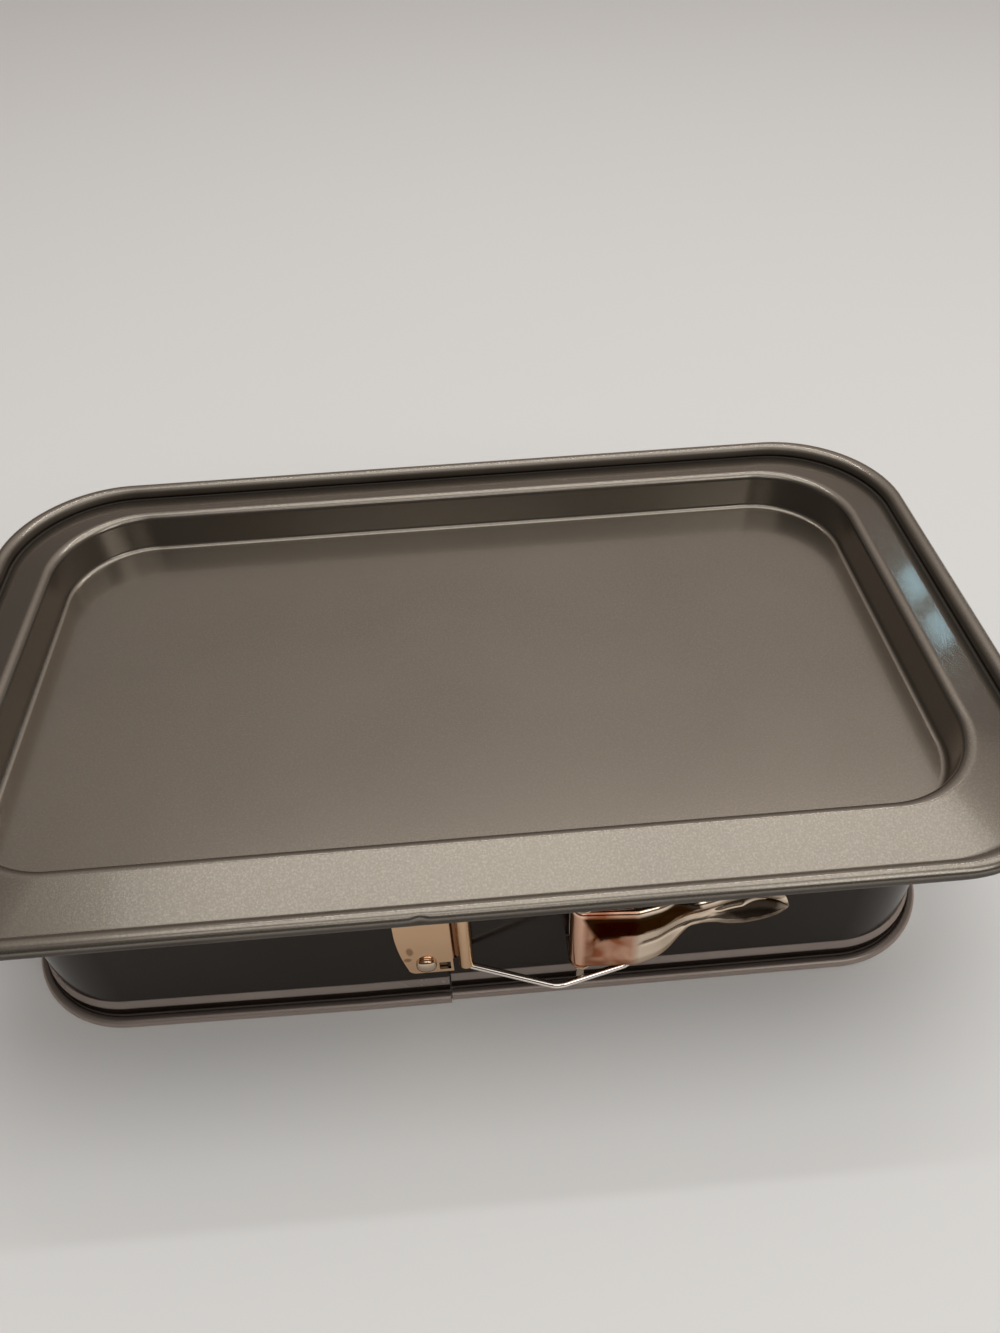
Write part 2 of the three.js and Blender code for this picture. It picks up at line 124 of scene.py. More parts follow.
def swept(rings):
    """A closed skin over rows of ring points: quads between neighbouring rings, a flat face on each end."""
    rows, columns = rings.shape[:2]
    i, j = np.meshgrid(np.arange(rows - 1), np.arange(columns), indexing="ij")
    k = (j + 1) % columns
    quads = np.stack([i * columns + j, i * columns + k, (i + 1) * columns + k, (i + 1) * columns + j], -1)
    ends = np.arange(columns)
    return rings.reshape(-1, 3), quads.reshape(-1, 4), [ends[::-1], (rows - 1) * columns + ends]


def placed(name, data):
    """A new object in the scene that shows a mesh, a lamp or a camera."""
    made = bpy.data.objects.new(name, data)
    bpy.context.scene.collection.objects.link(made)
    return made


def make_piece(name, solids, finish, sharp=35, painted_rim_shade=None):
    """One object from closed skins in millimetres: doubles merged, faces turned outwards, shaded smooth
    but for edges sharper than an angle. How much painted shade each point gets can be kept as an attribute."""
    points, faces, start = [], [], 0
    for solid_points, quads, ends in solids:
        points.append(solid_points)
        faces += (quads + start).tolist() + [(end + start).tolist() for end in ends]
        start += len(solid_points)
    mesh = bpy.data.meshes.new(name)
    mesh.from_pydata((np.concatenate(points) * MM).tolist(), [], faces)
    if painted_rim_shade is not None:
        mesh.attributes.new("painted_rim_shade", "FLOAT", "POINT").data.foreach_set("value", painted_rim_shade)
    work = bmesh.new()
    work.from_mesh(mesh)
    bmesh.ops.remove_doubles(work, verts=work.verts, dist=1e-7)
    bmesh.ops.recalc_face_normals(work, faces=work.faces)
    work.to_mesh(mesh)
    work.free()
    mesh.polygons.foreach_set("use_smooth", np.ones(len(mesh.polygons), bool))
    mesh.set_sharp_from_angle(angle=np.radians(sharp))
    mesh.materials.append(finish)
    made = placed(name, mesh)
    return made


def ring_section():
    """Down the wall, out along an S curve at the shoulder, down again and round the bead."""
    foot = RING_MID + SHOULDER_STEP
    middle_radius = RING_BEAD - SHEET / 2
    wall = np.linspace(RING_TOP - SHEET / 2, SHOULDER_TOP + 0.4, 14)
    shoulder = np.linspace(SHOULDER_TOP + 0.2, SHOULDER_FOOT - 0.2, 20)
    foot_wall = np.linspace(SHOULDER_FOOT - 0.6, RING_BEAD + 0.3, 7)
    z = np.concatenate([wall, shoulder, foot_wall])
    out = RING_MID + SHOULDER_STEP * ease((SHOULDER_TOP - z) / (SHOULDER_TOP - SHOULDER_FOOT))
    bead = arc(foot + middle_radius, RING_BEAD, middle_radius, 180, 180 + RING_BEAD_TURN, 56)
    return sheet_section(np.concatenate([np.stack([out, z], -1), bead]), SHEET)


def spaced(counts):
    """A parameter that runs through each unit interval in its own number of steps, closer near both ends."""
    runs = [k + ease(np.linspace(0, 1, n, endpoint=False)) for k, n in enumerate(counts)]
    return np.concatenate(runs + [[len(counts)]])


def half_ring(side, end):
    """Half the ring in plan. The parameter runs along the back, a corner, the side, a corner and the
    front; a centre slides along the straights while a normal turns round the corners, and the section
    stands on centre + normal * (corner radius + distance out)."""
    t = spaced([30, 28, 30, 28, 40])
    centre_x = np.interp(t, [0, 1, 4, 5], [0, side * SEAM_X, side * SEAM_X, end])
    centre_y = np.interp(t, [2, 3], [1, -1]) * (STEP_HALF_WIDTH - STEP_CORNER)
    angle = np.radians(90 - side * np.interp(t, [1, 2, 3, 4], [0, 90, 90, 180]))
    lap = np.interp(t, [4, 5], [0, 1]) * (side < 0)
    slant = np.clip((centre_x + SEAM_X) / (LAP_SLANT_END + SEAM_X), 0, 1) * LAP_OFFSET
    section = ring_section()
    out = STEP_CORNER + section[None, :, 0] + np.where(lap > 0, slant, 0)[:, None]
    return np.stack([
        centre_x[:, None] + np.cos(angle)[:, None] * out,
        centre_y[:, None] + np.sin(angle)[:, None] * out,
        np.broadcast_to(section[None, :, 1], out.shape)], -1)


def ring_tongue():
    """The narrow end that slips under the lap: a flat strip with half-round ends, thinner than the wall."""
    wall_y = -STEP_HALF_WIDTH - RING_MID
    line = np.stack([np.linspace(TONGUE_END + SHEET / 2, RIGHT_END + 4, 12), np.full(12, wall_y)], -1)
    outline = sheet_section(line, SHEET - 2 * TONGUE_TRIM)
    z = np.linspace(TONGUE_LOW, TONGUE_HIGH, 8)
    flat = np.broadcast_to(outline[None], (len(z), *outline.shape))
    return np.concatenate([flat, np.broadcast_to(z[:, None, None], (*flat.shape[:2], 1))], -1)


def feed(tree, made, values):
    """Sets a node's inputs, by name or number, to numbers, vectors or opaque colours, or joins them to the
    outputs of other nodes."""
    for key, value in values.items():
        socket = made.inputs[key]
        if isinstance(value, bpy.types.NodeSocket):
            tree.links.new(value, socket)
        elif socket.type == "RGBA":
            socket.default_value = (*value, 1)
        else:
            socket.default_value = value


def node(tree, kind, settings=(), **values):
    """A new node with its properties set and its inputs fed."""
    made = tree.nodes.new(kind)
    for label, value in dict(settings).items():
        setattr(made, label, value)
    feed(tree, made, {label.replace("_", " "): value for label, value in values.items()})
    return made


def new_finish(name):
    """A material with its shader, its object coordinates and its node tree."""
    finish = bpy.data.materials.new(name)
    finish.use_nodes = True
    tree = finish.node_tree
    shader = next(n for n in tree.nodes if n.type == "BSDF_PRINCIPLED")
    place = tree.nodes.new("ShaderNodeTexCoord").outputs["Object"]
    return finish, tree, shader, place


def mixed(tree, factor, first, second):
    """A colour between two, by a factor from 0 to 1."""
    made = node(tree, "ShaderNodeMix", {"data_type": "RGBA"}, Factor=factor)
    feed(tree, made, {6: first, 7: second})
    return made.outputs[2]


def ranged(tree, value, low, high, start=0.0, stop=1.0):
    """A value carried from the range start to stop onto the range low to high, and held there."""
    made = node(tree, "ShaderNodeMapRange", Value=value,
                From_Min=start, From_Max=stop, To_Min=low, To_Max=high)
    return made.outputs["Result"]


def noise(tree, place, scale, detail, roughness=0.5, distortion=0.0):
    """A cloudy value between nought and one."""
    made = node(tree, "ShaderNodeTexNoise", Vector=place, Scale=scale, Detail=detail,
                Roughness=roughness, Distortion=distortion)
    return made.outputs["Fac"]


def bumped(tree, height, strength, distance):
    """The normal of a surface raised by a height."""
    made = node(tree, "ShaderNodeBump", Height=height, Strength=strength, Distance=distance)
    return made.outputs["Normal"]


def reckoned(tree, operation, first, second):
    """Two values put together by a sum, a product or the like, each a number or another node's output."""
    made = node(tree, "ShaderNodeMath", {"operation": operation})
    feed(tree, made, {0: first, 1: second})
    return made.outputs["Value"]


def times(tree, first, second):
    """The product of two values."""
    return reckoned(tree, "MULTIPLY", first, second)


def vectored(tree, operation, first, second=(0, 0, 0)):
    """Two vectors put together. A length or a distance comes out as a value, anything else as a vector."""
    made = node(tree, "ShaderNodeVectorMath", {"operation": operation})
    feed(tree, made, {0: first, 1: second})
    return made.outputs["Value" if operation in ("LENGTH", "DISTANCE") else "Vector"]


def between(tree, value, low, high, soft):
    """One where a length in millimetres lies between two others, with soft edges, and nought elsewhere."""
    above = ranged(tree, value, 0.0, 1.0, (low - soft) * MM, (low + soft) * MM)
    below = ranged(tree, value, 1.0, 0.0, (high - soft) * MM, (high + soft) * MM)
    return times(tree, above, below)


def grain_group():
    """Two noises in one: a fine fleck of the baked coat at a given scale, and a broad mottle."""
    group = bpy.data.node_groups.new("coat_grain", "ShaderNodeTree")
    for label, way, kind in (("Vector", "INPUT", "Vector"), ("Scale", "INPUT", "Float"),
                             ("Fleck", "OUTPUT", "Float"), ("Mottle", "OUTPUT", "Float")):
        group.interface.new_socket(label, in_out=way, socket_type=f"NodeSocket{kind}")
    given = group.nodes.new("NodeGroupInput").outputs
    fleck = noise(group, given["Vector"], given["Scale"], 3.0, 0.62)
    broad = noise(group, given["Vector"], 19.0, 5.0, 0.55, 0.4)
    node(group, "NodeGroupOutput", Fleck=ranged(group, fleck, 0.0, 1.0, 0.32, 0.68),
         Mottle=ranged(group, broad, 0.0, 1.0, 0.3, 0.7))
    return group


coat_grain = grain_group()


def grain(tree, place, scale):
    """The coat's grain, placed in a material at its own scale."""
    made = node(tree, "ShaderNodeGroup", {"node_tree": coat_grain}, Vector=place, Scale=scale)
    return made.outputs["Fleck"], made.outputs["Mottle"]


def ring_coat():
    """Glossy brown-black lacquer with a faint mottle in its colour and gloss. The shoulder and the bead,
    which stand proud, carry a painted highlight in a paler colour, and are worn duller, partly to bare
    metal; the wall stays black."""
    finish, tree, shader, place = new_finish("ring_gloss_coat")
    fleck, mottle = grain(tree, place, RING_GLOSS["fleck"])
    height = node(tree, "ShaderNodeSeparateXYZ", Vector=place).outputs["Z"]
    body = mixed(tree, mottle, *RING_BLACK)
    bead = ranged(tree, height, 1.0, 0.0, (2 * RING_BEAD - 0.6) * MM, (2 * RING_BEAD + 0.2) * MM)
    shoulder = between(tree, height, SHOULDER_FOOT, SHOULDER_TOP, 0.3)
    patchy = times(tree, shoulder, ranged(tree, mottle, *RING_WEAR_AND_HIGHLIGHT["patchy"]))
    # The shoulder and bead mask: a painted highlight in the colour, wear in the gloss and the metal.
    rubbed_and_highlit = reckoned(tree, "MAXIMUM", bead, patchy)
    worn = node(tree, "ShaderNodeMix", {"data_type": "FLOAT"}, Factor=rubbed_and_highlit)
    feed(tree, worn, {2: ranged(tree, mottle, *RING_GLOSS["roughness"]), 3: RING_WEAR_AND_HIGHLIGHT["roughness"]})
    feed(tree, shader, {
        "Base Color": mixed(tree, rubbed_and_highlit, body, RING_WEAR_AND_HIGHLIGHT["colour"]),
        "Metallic": times(tree, rubbed_and_highlit, RING_WEAR_AND_HIGHLIGHT["metal"]),
        "Roughness": worn.outputs[0], "IOR": RING_GLOSS["ior"], "Specular Tint": RING_GLOSS["sheen"],
        "Normal": bumped(tree, fleck, *RING_GLOSS["bump"])})
    return finish


RING_COAT = ring_coat()
for side, end, arm in ((-1, LEFT_END, "left_arm"), (1, RIGHT_END, "right_arm")):
    solids = [swept(half_ring(side, end))]
    if side > 0:
        solids.append(swept(ring_tongue()))
    band = make_piece(f"ring_band_{arm[:-4]}", solids, RING_COAT)
    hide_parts(f"ring_{arm}", "ring_back_wall")
    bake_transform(band)

# Catch plate: a tall plate of plated steel on the ring's left end, with a sleeve rolled from its
# straight edge to hold the wire. It has a small, nearly square window by the lower rivet.
CLASP_Y = -STEP_HALF_WIDTH - RING_MID - SHEET / 2
CLASP_Z = 42.0
PLATE_SHEET = 0.8
plate_low, plate_high = node_box("catch_plate")
PLATE_HALF = (plate_high[2] - plate_low[2]) / 2
PLATE_BACK = CLASP_Y - plate_high[1]
PLATE_RIGHT = -9.8
PLATE_LEFT = -26.0
PLATE_FOOT_LEFT = -20.9
PLATE_FOOT_ROUND = 2.5
PLATE_BULGE = 0.8
PLATE_BLOCK = -16.0
PLATE_EDGE = 0.16
WINDOW = {"x": (-14.0, -10.6), "h": (-25.0, -21.0)}
SLEEVE = {"x": -5.8, "out": 3.45, "half": 19.5}
SLEEVE_RADIUS = 1.8
SLEEVE_TURN = 285
SLEEVE_TRIM = 0.04
GROOVE = {"left": -9.8, "right": -7.9, "depth": 0.75, "slope": 0.6}
PLATING_GRAIN = 380.0
STAMPED_WAVE = {"scale": 130.0, "height": 0.0004}
DARKENING_DULLS = 0.15
# Painted shade: the groove beside the sleeve is painted dark brown; the two smears are real stains.
PLATE_STAIN_AND_SHADE = {"colour": (0.20, 0.070, 0.032), "groove": 0.85, "ragged_patch": 0.6}
SMEARS = (
    {"x": -22.2, "h": -13.6, "wide": 1.1, "tall": 2.6, "torn": 0.5},
    {"x": -23.2, "h": -18.2, "wide": 1.5, "tall": 1.2, "torn": 0.5})


def clasp(x, out, h):
    """A place on the clasp, given along the wall, out from it and up from the clasp's middle."""
    x, out, h = np.broadcast_arrays(x, out, h)
    return np.stack([x, CLASP_Y - out, CLASP_Z + h], -1)


def sheet_solid(front, back, keep):
    """A sheet with cut-outs: front and back quads on the kept cells of a grid, and walls wherever a kept
    cell borders on a missing one or on the outside."""
    rows, columns = front.shape[:2]
    index = np.arange(rows * columns).reshape(rows, columns)
    a, b, c, d = index[:-1, :-1], index[:-1, 1:], index[1:, 1:], index[1:, :-1]
    under = rows * columns
    faces = [np.stack([a, b, c, d], -1)[keep], np.stack([d, c, b, a], -1)[keep] + under]
    padded = np.pad(keep, 1)
    inside = padded[1:-1, 1:-1]
    for first, second, beyond in (
            (a, b, padded[:-2, 1:-1]), (c, d, padded[2:, 1:-1]),
            (d, a, padded[1:-1, :-2]), (b, c, padded[1:-1, 2:])):
        edge = inside & ~beyond
        wall = np.stack([first, first + under, second + under, second], -1)
        faces.append(wall[edge])
    return np.concatenate([front.reshape(-1, 3), back.reshape(-1, 3)]), np.concatenate(faces), []


def plate_left(h):
    """The plate's curved edge: bowed between its rounded top and bottom corners."""
    rise = np.abs(h) / (PLATE_HALF - PLATE_FOOT_ROUND)
    corner = PLATE_FOOT_LEFT - PLATE_FOOT_ROUND
    bow = PLATE_LEFT + (corner - PLATE_LEFT) * np.clip(rise, 0, 1) ** 2
    bow -= PLATE_BULGE * np.clip(rise, 0, 1) * np.clip(1 - rise, 0, 1)
    past = np.clip((np.abs(h) - PLATE_HALF) / PLATE_FOOT_ROUND + 1, 0, 1)
    return np.where(rise < 1, bow, corner + PLATE_FOOT_ROUND * (1 - np.sqrt(1 - past ** 2)))


def catch_plate():
    """The flat plate on a grid whose left columns follow the curved edge and whose right columns are
    straight, with the window's cells left out."""
    corner = PLATE_HALF - PLATE_FOOT_ROUND * (1 - np.sin(np.radians(np.linspace(0, 90, 7))))
    h = np.unique(np.concatenate([np.linspace(-corner[0], corner[0], 41), corner, -corner, WINDOW["h"]]))
    right = np.array([PLATE_BLOCK, *WINDOW["x"], PLATE_RIGHT])
    share = np.linspace(0, 1, 9)[:-1]
    left = plate_left(h)[:, None] * (1 - share) + PLATE_BLOCK * share
    x = np.concatenate([left, np.broadcast_to(right, (len(h), len(right)))], 1)
    cell_h = (h[:-1] + h[1:]) / 2
    cell_x = (x[0, :-1] + x[0, 1:]) / 2
    window_h = (cell_h > WINDOW["h"][0]) & (cell_h < WINDOW["h"][1])
    window_x = (cell_x > WINDOW["x"][0]) & (cell_x < WINDOW["x"][1])
    keep = ~(window_h[:, None] & window_x[None, :])
    front = clasp(x, PLATE_BACK + PLATE_SHEET, h[:, None])
    back = clasp(x, PLATE_BACK, h[:, None])
    return sheet_solid(front, back, keep)


def rolled_sleeve():
    """The plate's edge carried on across a pressed groove and rolled outwards round the wire, as one
    outline in plan that is drawn straight up."""
    roll = arc(SLEEVE["x"], SLEEVE["out"], SLEEVE_RADIUS, -90, SLEEVE_TURN - 90, 40)
    x = np.linspace(PLATE_RIGHT - 0.6, SLEEVE["x"] - 0.2, 30)
    down = ease((x - GROOVE["left"]) / GROOVE["slope"])
    up = ease((x - GROOVE["right"]) / GROOVE["slope"])
    lead = np.stack([x, roll[0, 1] - GROOVE["depth"] * (down - up)], -1)
    outline = sheet_section(np.concatenate([lead, roll]), PLATE_SHEET - SLEEVE_TRIM)
    return swept(np.stack([clasp(*outline.T, h) for h in (-SLEEVE["half"], SLEEVE["half"])]))


def soften(made, width):
    """Rounds the hard edges of a piece by a small bevel."""
    bevel = made.modifiers.new("rounded_edges", "BEVEL")
    bevel.width = width * MM
    bevel.segments = 3
    bevel.limit_method = "ANGLE"
    bevel.angle_limit = np.radians(40)
    bevel.harden_normals = True


def plating(name, tint, dark, gloss=(0.07, 0.17), hammered=0.2, edge=(1, 1, 1), painted_reflection=None, stains_and_shade=None):
    """Bright plating: a mirror with faint smears in its gloss and a wavy stamped surface, tinted where it
    is seen at a flat angle. A function can give a mask and a colour for a painted copper reflection, and
    another for painted dark reflection or shade together with real stains."""
    finish, tree, shader, place = new_finish(name)
    mottle = grain(tree, place, PLATING_GRAIN)[1]
    body = mixed(tree, mottle, dark, tint)
    rough = ranged(tree, mottle, *gloss)
    if painted_reflection:
        reach, reflected_copper = painted_reflection(tree, place)
        body = mixed(tree, reach, body, reflected_copper)
    if stains_and_shade:
        stain_and_shade, brown = stains_and_shade(tree, place)
        body = mixed(tree, stain_and_shade, body, brown)
        rough = reckoned(tree, "ADD", rough, times(tree, stain_and_shade, DARKENING_DULLS))
    wave = noise(tree, place, STAMPED_WAVE["scale"], 1.5, 0.4)
    feed(tree, shader, {
        "Base Color": body, "Roughness": rough, "Metallic": 1.0, "Specular Tint": edge,
        "Normal": bumped(tree, wave, hammered, STAMPED_WAVE["height"])})
    return finish


def ragged_patch(tree, place, spot):
    """One on a ragged patch round a place on the clasp: its distance, stretched along x and up by the
    patch's size, and torn by a noise, stays under one."""
    centre = (spot["x"] * MM, CLASP_Y * MM, (CLASP_Z + spot["h"]) * MM)
    stretch = (1 / (spot["wide"] * MM), 0, 1 / (spot["tall"] * MM))
    away = vectored(tree, "MULTIPLY", vectored(tree, "SUBTRACT", place, centre), stretch)
    frayed = ranged(tree, noise(tree, place, 260.0, 2.0, 0.6), -spot["torn"], spot["torn"])
    torn = reckoned(tree, "ADD", vectored(tree, "LENGTH", away), frayed)
    return ranged(tree, torn, 1.0, 0.0, 0.6, 1.1)


def plate_stains_and_groove_shade(tree, place):
    """Painted shade in dark brown along the groove, and real brown residue thinly in two smears by the
    plate's curved edge.
    """
    along = node(tree, "ShaderNodeSeparateXYZ", Vector=place).outputs["X"]
    # Painted shade in the groove between the plate and the sleeve.
    groove = between(tree, along, GROOVE["left"] + 0.1, GROOVE["right"] + 0.2, 0.25)
    stain_and_shade = times(tree, groove, PLATE_STAIN_AND_SHADE["groove"])
    for spot in SMEARS:
        thin = times(tree, ragged_patch(tree, place, spot), PLATE_STAIN_AND_SHADE["ragged_patch"])
        stain_and_shade = reckoned(tree, "MAXIMUM", stain_and_shade, thin)
    return stain_and_shade, PLATE_STAIN_AND_SHADE["colour"]


PLATE_FINISH = plating("plate_plating", tint=(0.99, 0.69, 0.45), dark=(0.90, 0.61, 0.39),
                       edge=(0.75, 0.60, 0.48), stains_and_shade=plate_stains_and_groove_shade)
hinge_plate = make_piece("catch_hinge_plate", [catch_plate(), rolled_sleeve()], PLATE_FINISH)
soften(hinge_plate, PLATE_EDGE)
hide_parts("catch_plate")
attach(hinge_plate, "left_arm")

# Catch rivets: two solid rivets with domed heads hold the catch plate on the band, one near the top
# of the plate and one near its foot. Their inner ends are sunk a little into the band.
RIVET_HEAD = 3.1
RIVET_DOME = 2.0
RIVET_SHANK = 1.5
RIVET_EDGE = 0.5
RIVET_SUNK = 0.1
INNER_HEAD = {"thick": 0.7, "chamfer": 0.2}
NEAR_AXIS = 0.01
SEAT_GAP = 0.02
CATCH_RIVET = {"x": -17.8, "h": 21.1}
LATHE_SIDES = 40


def spun(profile):
    """A profile of radius and height turned round an axis: two coordinates across it and the height."""
    angle = np.linspace(0, 2 * np.pi, LATHE_SIDES, endpoint=False)
    radius, height = profile.T[:, :, None]
    return radius * np.cos(angle), radius * np.sin(angle), height


def turned(profile, x, h):
    """A rivet's profile spun round an axis that stands on the wall."""
    aside, up, out = spun(profile)
    return swept(clasp(x + aside, out, h + up))


def rivet_head(foot):
    """From the rim of the head up over a dome with a small hammered flat in the middle."""
    rim = np.array([[RIVET_HEAD - 0.15, foot], [RIVET_HEAD, foot + 0.12], [RIVET_HEAD, foot + RIVET_EDGE]])
    climb = np.radians(np.linspace(6, 84, 16))
    rise = (RIVET_DOME - RIVET_EDGE) * np.sin(climb)
    dome = np.stack([RIVET_HEAD * np.cos(climb), foot + RIVET_EDGE + rise], -1)
    flat = np.array([[NEAR_AXIS, foot + RIVET_DOME]])
    return np.concatenate([rim, dome, flat])


def rivet(foot, inner, headed):
    """A whole rivet: inner end, shank and domed head, as one turned profile."""
    tail = [[NEAR_AXIS, inner], [RIVET_SHANK, inner]]
    if headed:
        chamfer, seat = INNER_HEAD["chamfer"], inner + INNER_HEAD["thick"]
        tail = [[NEAR_AXIS, inner], [RIVET_HEAD - chamfer, inner], [RIVET_HEAD, inner + chamfer],
                [RIVET_HEAD, seat], [RIVET_SHANK, seat]]
    return np.concatenate([np.array(tail), [[RIVET_SHANK, foot]], rivet_head(foot)])


RIVET_FINISH = plating("rivet_plating", tint=(0.80, 0.68, 0.54), dark=(0.58, 0.44, 0.32), hammered=0.6)
catch_foot = PLATE_BACK + PLATE_SHEET + SEAT_GAP
for place, side in (("lower", -1), ("upper", 1)):
    profile = rivet(catch_foot, LAP_OFFSET - SHEET + RIVET_SUNK, False)
    solid = turned(profile, CATCH_RIVET["x"], side * CATCH_RIVET["h"])
    head = make_piece(f"catch_rivet_head_{place}", [solid], RIVET_FINISH)
    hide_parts(f"catch_rivet_{place}")
    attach(head, "left_arm")

# Pivot bracket: a folded steel plate on the ring's right end, behind the lever. A round ear above and
# another below carry the pivot pin.
bracket_low, bracket_high = node_box("pivot_bracket")
BRACKET_SHEET = 0.8
EAR_RADIUS = 3.4
PIVOT = {"x": 27.6, "out": 8.0}
BRACKET_EDGE = 0.2
BRACKET_INSET = 0.8
BRACKET_CORNER = 1.2
EAR_FOOT = FIT_GAP + 0.2


def slab(outline, low, high, edge, place):
    """A plate with rounded edges: an outline drawn in by edge * (1 - sin) while it rises by
    edge * (1 - cos), up one side and down the other. place turns outline and height into points."""
    along = unit(np.roll(outline, -1, 0) - np.roll(outline, 1, 0))
    outward = np.stack([along[:, 1], -along[:, 0]], -1)
    turn = np.radians(np.linspace(0, 90, 5))
    inset = np.concatenate([edge * (1 - np.sin(turn)), edge * (1 - np.sin(turn))[::-1]])
    rise = np.concatenate([low + edge * (1 - np.cos(turn)), high - edge * (1 - np.cos(turn))[::-1]])
    drawn = outline[None] - inset[:, None, None] * outward[None]
    return swept(place(drawn[..., 0], drawn[..., 1], rise[:, None]))


def rounded_rectangle(low_x, high_x, low_y, high_y, radius):
    """The outline of a rectangle with round corners, anticlockwise."""
    corners = [(high_x, high_y, 0), (low_x, high_y, 90), (low_x, low_y, 180), (high_x, low_y, 270)]
    mid_x, mid_y = (low_x + high_x) / 2, (low_y + high_y) / 2
    return np.concatenate([
        arc(x + np.sign(mid_x - x) * radius, y + np.sign(mid_y - y) * radius, radius, start, start + 90, 6)
        for x, y, start in corners])


def pivot_bracket():
    """The plate lies on the wall; each ear stands out from it to a round end over the pin."""
    top = bracket_high[2] - CLASP_Z
    plate = rounded_rectangle(bracket_low[0] + BRACKET_INSET, bracket_high[0], -top, top, BRACKET_CORNER)
    solids = [slab(plate, FIT_GAP, FIT_GAP + BRACKET_SHEET, BRACKET_EDGE, lambda x, h, out: clasp(x, out, h))]
    round_end = arc(PIVOT["x"], PIVOT["out"], EAR_RADIUS, 0, 180, 24)
    ear = np.concatenate([round_end, [[PIVOT["x"] + side * EAR_RADIUS, EAR_FOOT] for side in (-1, 1)]])
    for low in (-top, top - BRACKET_SHEET):
        solids.append(slab(ear, low, low + BRACKET_SHEET, BRACKET_EDGE, clasp))
    return solids


BRACKET_FINISH = plating("bracket_plating", tint=(0.56, 0.44, 0.34), dark=(0.42, 0.32, 0.24))
bracket = make_piece("lever_bracket", pivot_bracket(), BRACKET_FINISH)
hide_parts("pivot_bracket")
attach(bracket, "right_arm")

# Bracket rivets: two rivets through the bracket and the band, with a head on both sides. The closed
# lever hides them from the front.
BRACKET_RIVET = {"x": 42.0, "h": 8.0}
bracket_foot = FIT_GAP + BRACKET_SHEET + SEAT_GAP
inner_end = CLASP_Y - node_box("bracket_rivet_lower")[1][1]
for place, side in (("lower", -1), ("upper", 1)):
    profile = rivet(bracket_foot, inner_end, True)
    solid = turned(profile, BRACKET_RIVET["x"], side * BRACKET_RIVET["h"])
    head = make_piece(f"bracket_rivet_head_{place}", [solid], RIVET_FINISH)
    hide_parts(f"bracket_rivet_{place}")
    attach(head, "right_arm")

# Pivot pin: a plain steel pin through both ears of the bracket. It has a head at the top and is left
# long below the lower ear.
pin_low, pin_high = node_box("pivot_pin")
PIN_RADIUS = 1.2
PIN_HEAD = 2.1
PIN_HEAD_THICK = 1.8
PIN_CHAMFER = 0.3
PIN_HEAD_ROUND = 0.6
PIN_EDGE = 0.1


def pivot_pin():
    """A chamfered tail, the shank and a domed head, as radius by height, spun round the pivot's axis."""
    tail, top = pin_low[2], pin_high[2]
    seat = top - PIN_HEAD_THICK
    aside, out, z = spun(np.concatenate([
        [[NEAR_AXIS, tail], [PIN_RADIUS - PIN_CHAMFER, tail], [PIN_RADIUS, tail + PIN_CHAMFER]],
        [[PIN_RADIUS, seat], [PIN_HEAD - PIN_EDGE, seat], [PIN_HEAD, seat + PIN_EDGE]],
        arc(PIN_HEAD - PIN_HEAD_ROUND, top - PIN_HEAD_ROUND, PIN_HEAD_ROUND, 0, 90, 6), [[NEAR_AXIS, top]]]))
    return swept(clasp(PIVOT["x"] + aside, PIVOT["out"] + out, z - CLASP_Z))


pin = make_piece("lever_pin", [pivot_pin()], BRACKET_FINISH)
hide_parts("pivot_pin")
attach(pin, "right_arm")

# Lever: stamped from one plated sheet. A channel-shaped base is rolled round the pin at its left end;
# the arm narrows to a neck and opens into a dished thumb end with a turned-back lip.
lever_low, lever_high = node_box("clasp_lever")
LEVER_HALF = (lever_high[2] - lever_low[2]) / 2
LEVER_SHEET = 0.8
LEVER_ROLL = 3.0
LEVER_BASE_RIGHT = 45.6
LEVER_TIP = lever_high[0]
LEVER_CREASE = {"x": 42.3, "out": 12.0}
THUMB_MIDDLE = 75.0
THUMB_HALF = 9.0
ARM_KNOTS = (LEVER_BASE_RIGHT, 50, 53, 55.8, 58.5, 62, 66.5, 71)
ARM_HALF = (LEVER_HALF, 13.6, 12.4, 9.2, 6.5, 5.8, 6.6, 8.3)
ARM_OUT = (11.4, 10.2, 8.7, 7.3, 6.2, 5.6, 5.1, 4.9)
DISH_WIDTH = 0.8
DISH_DEEP = ((PIVOT["x"], 30, 31.2, 33.5, 42, 50, 55.8, 62, 66.5, 71, 75, 79, 83, 86, LEVER_TIP),
             (0, 0, 0.9, 1.4, 1.6, 1.4, 1.1, 1.0, 1.6, 2.4, 2.7, 2.5, 1.7, 0.6, 0))
VALLEY_ROUND = 0.35
SPOON = {"x": 58, "run": 10}
BEND_WIDE = ((44, 50, 62, 72), (1.3, 1.8, 1.6, 1.6))
BEND_DEEP = ((44, 62, 75, 84, LEVER_TIP), (1.3, 1.4, 1.6, 1.4, 0.5))
ROLL_FLANGE = 1.5
FLANGE_DEEP = ((PIVOT["x"], 30, 44, 47.5, 53, 80, LEVER_TIP), (ROLL_FLANGE, 4.6, 5.4, 1.4, 0.4, 0.25, 0.1))
ARM_GROOVE = {"x": (41.4, 66.6), "h": (-4.5, -2.2), "rise": -0.4, "half": 0.7,
              "swells": (43, 46), "dies": (60, 64)}
THUMB_RIB = {"x": (64, 75, 80), "h": (-1.2, -1.2, 3.0), "rise": 0.9, "half": 0.9,
             "swells": (64, 69), "dies": (79, 83)}
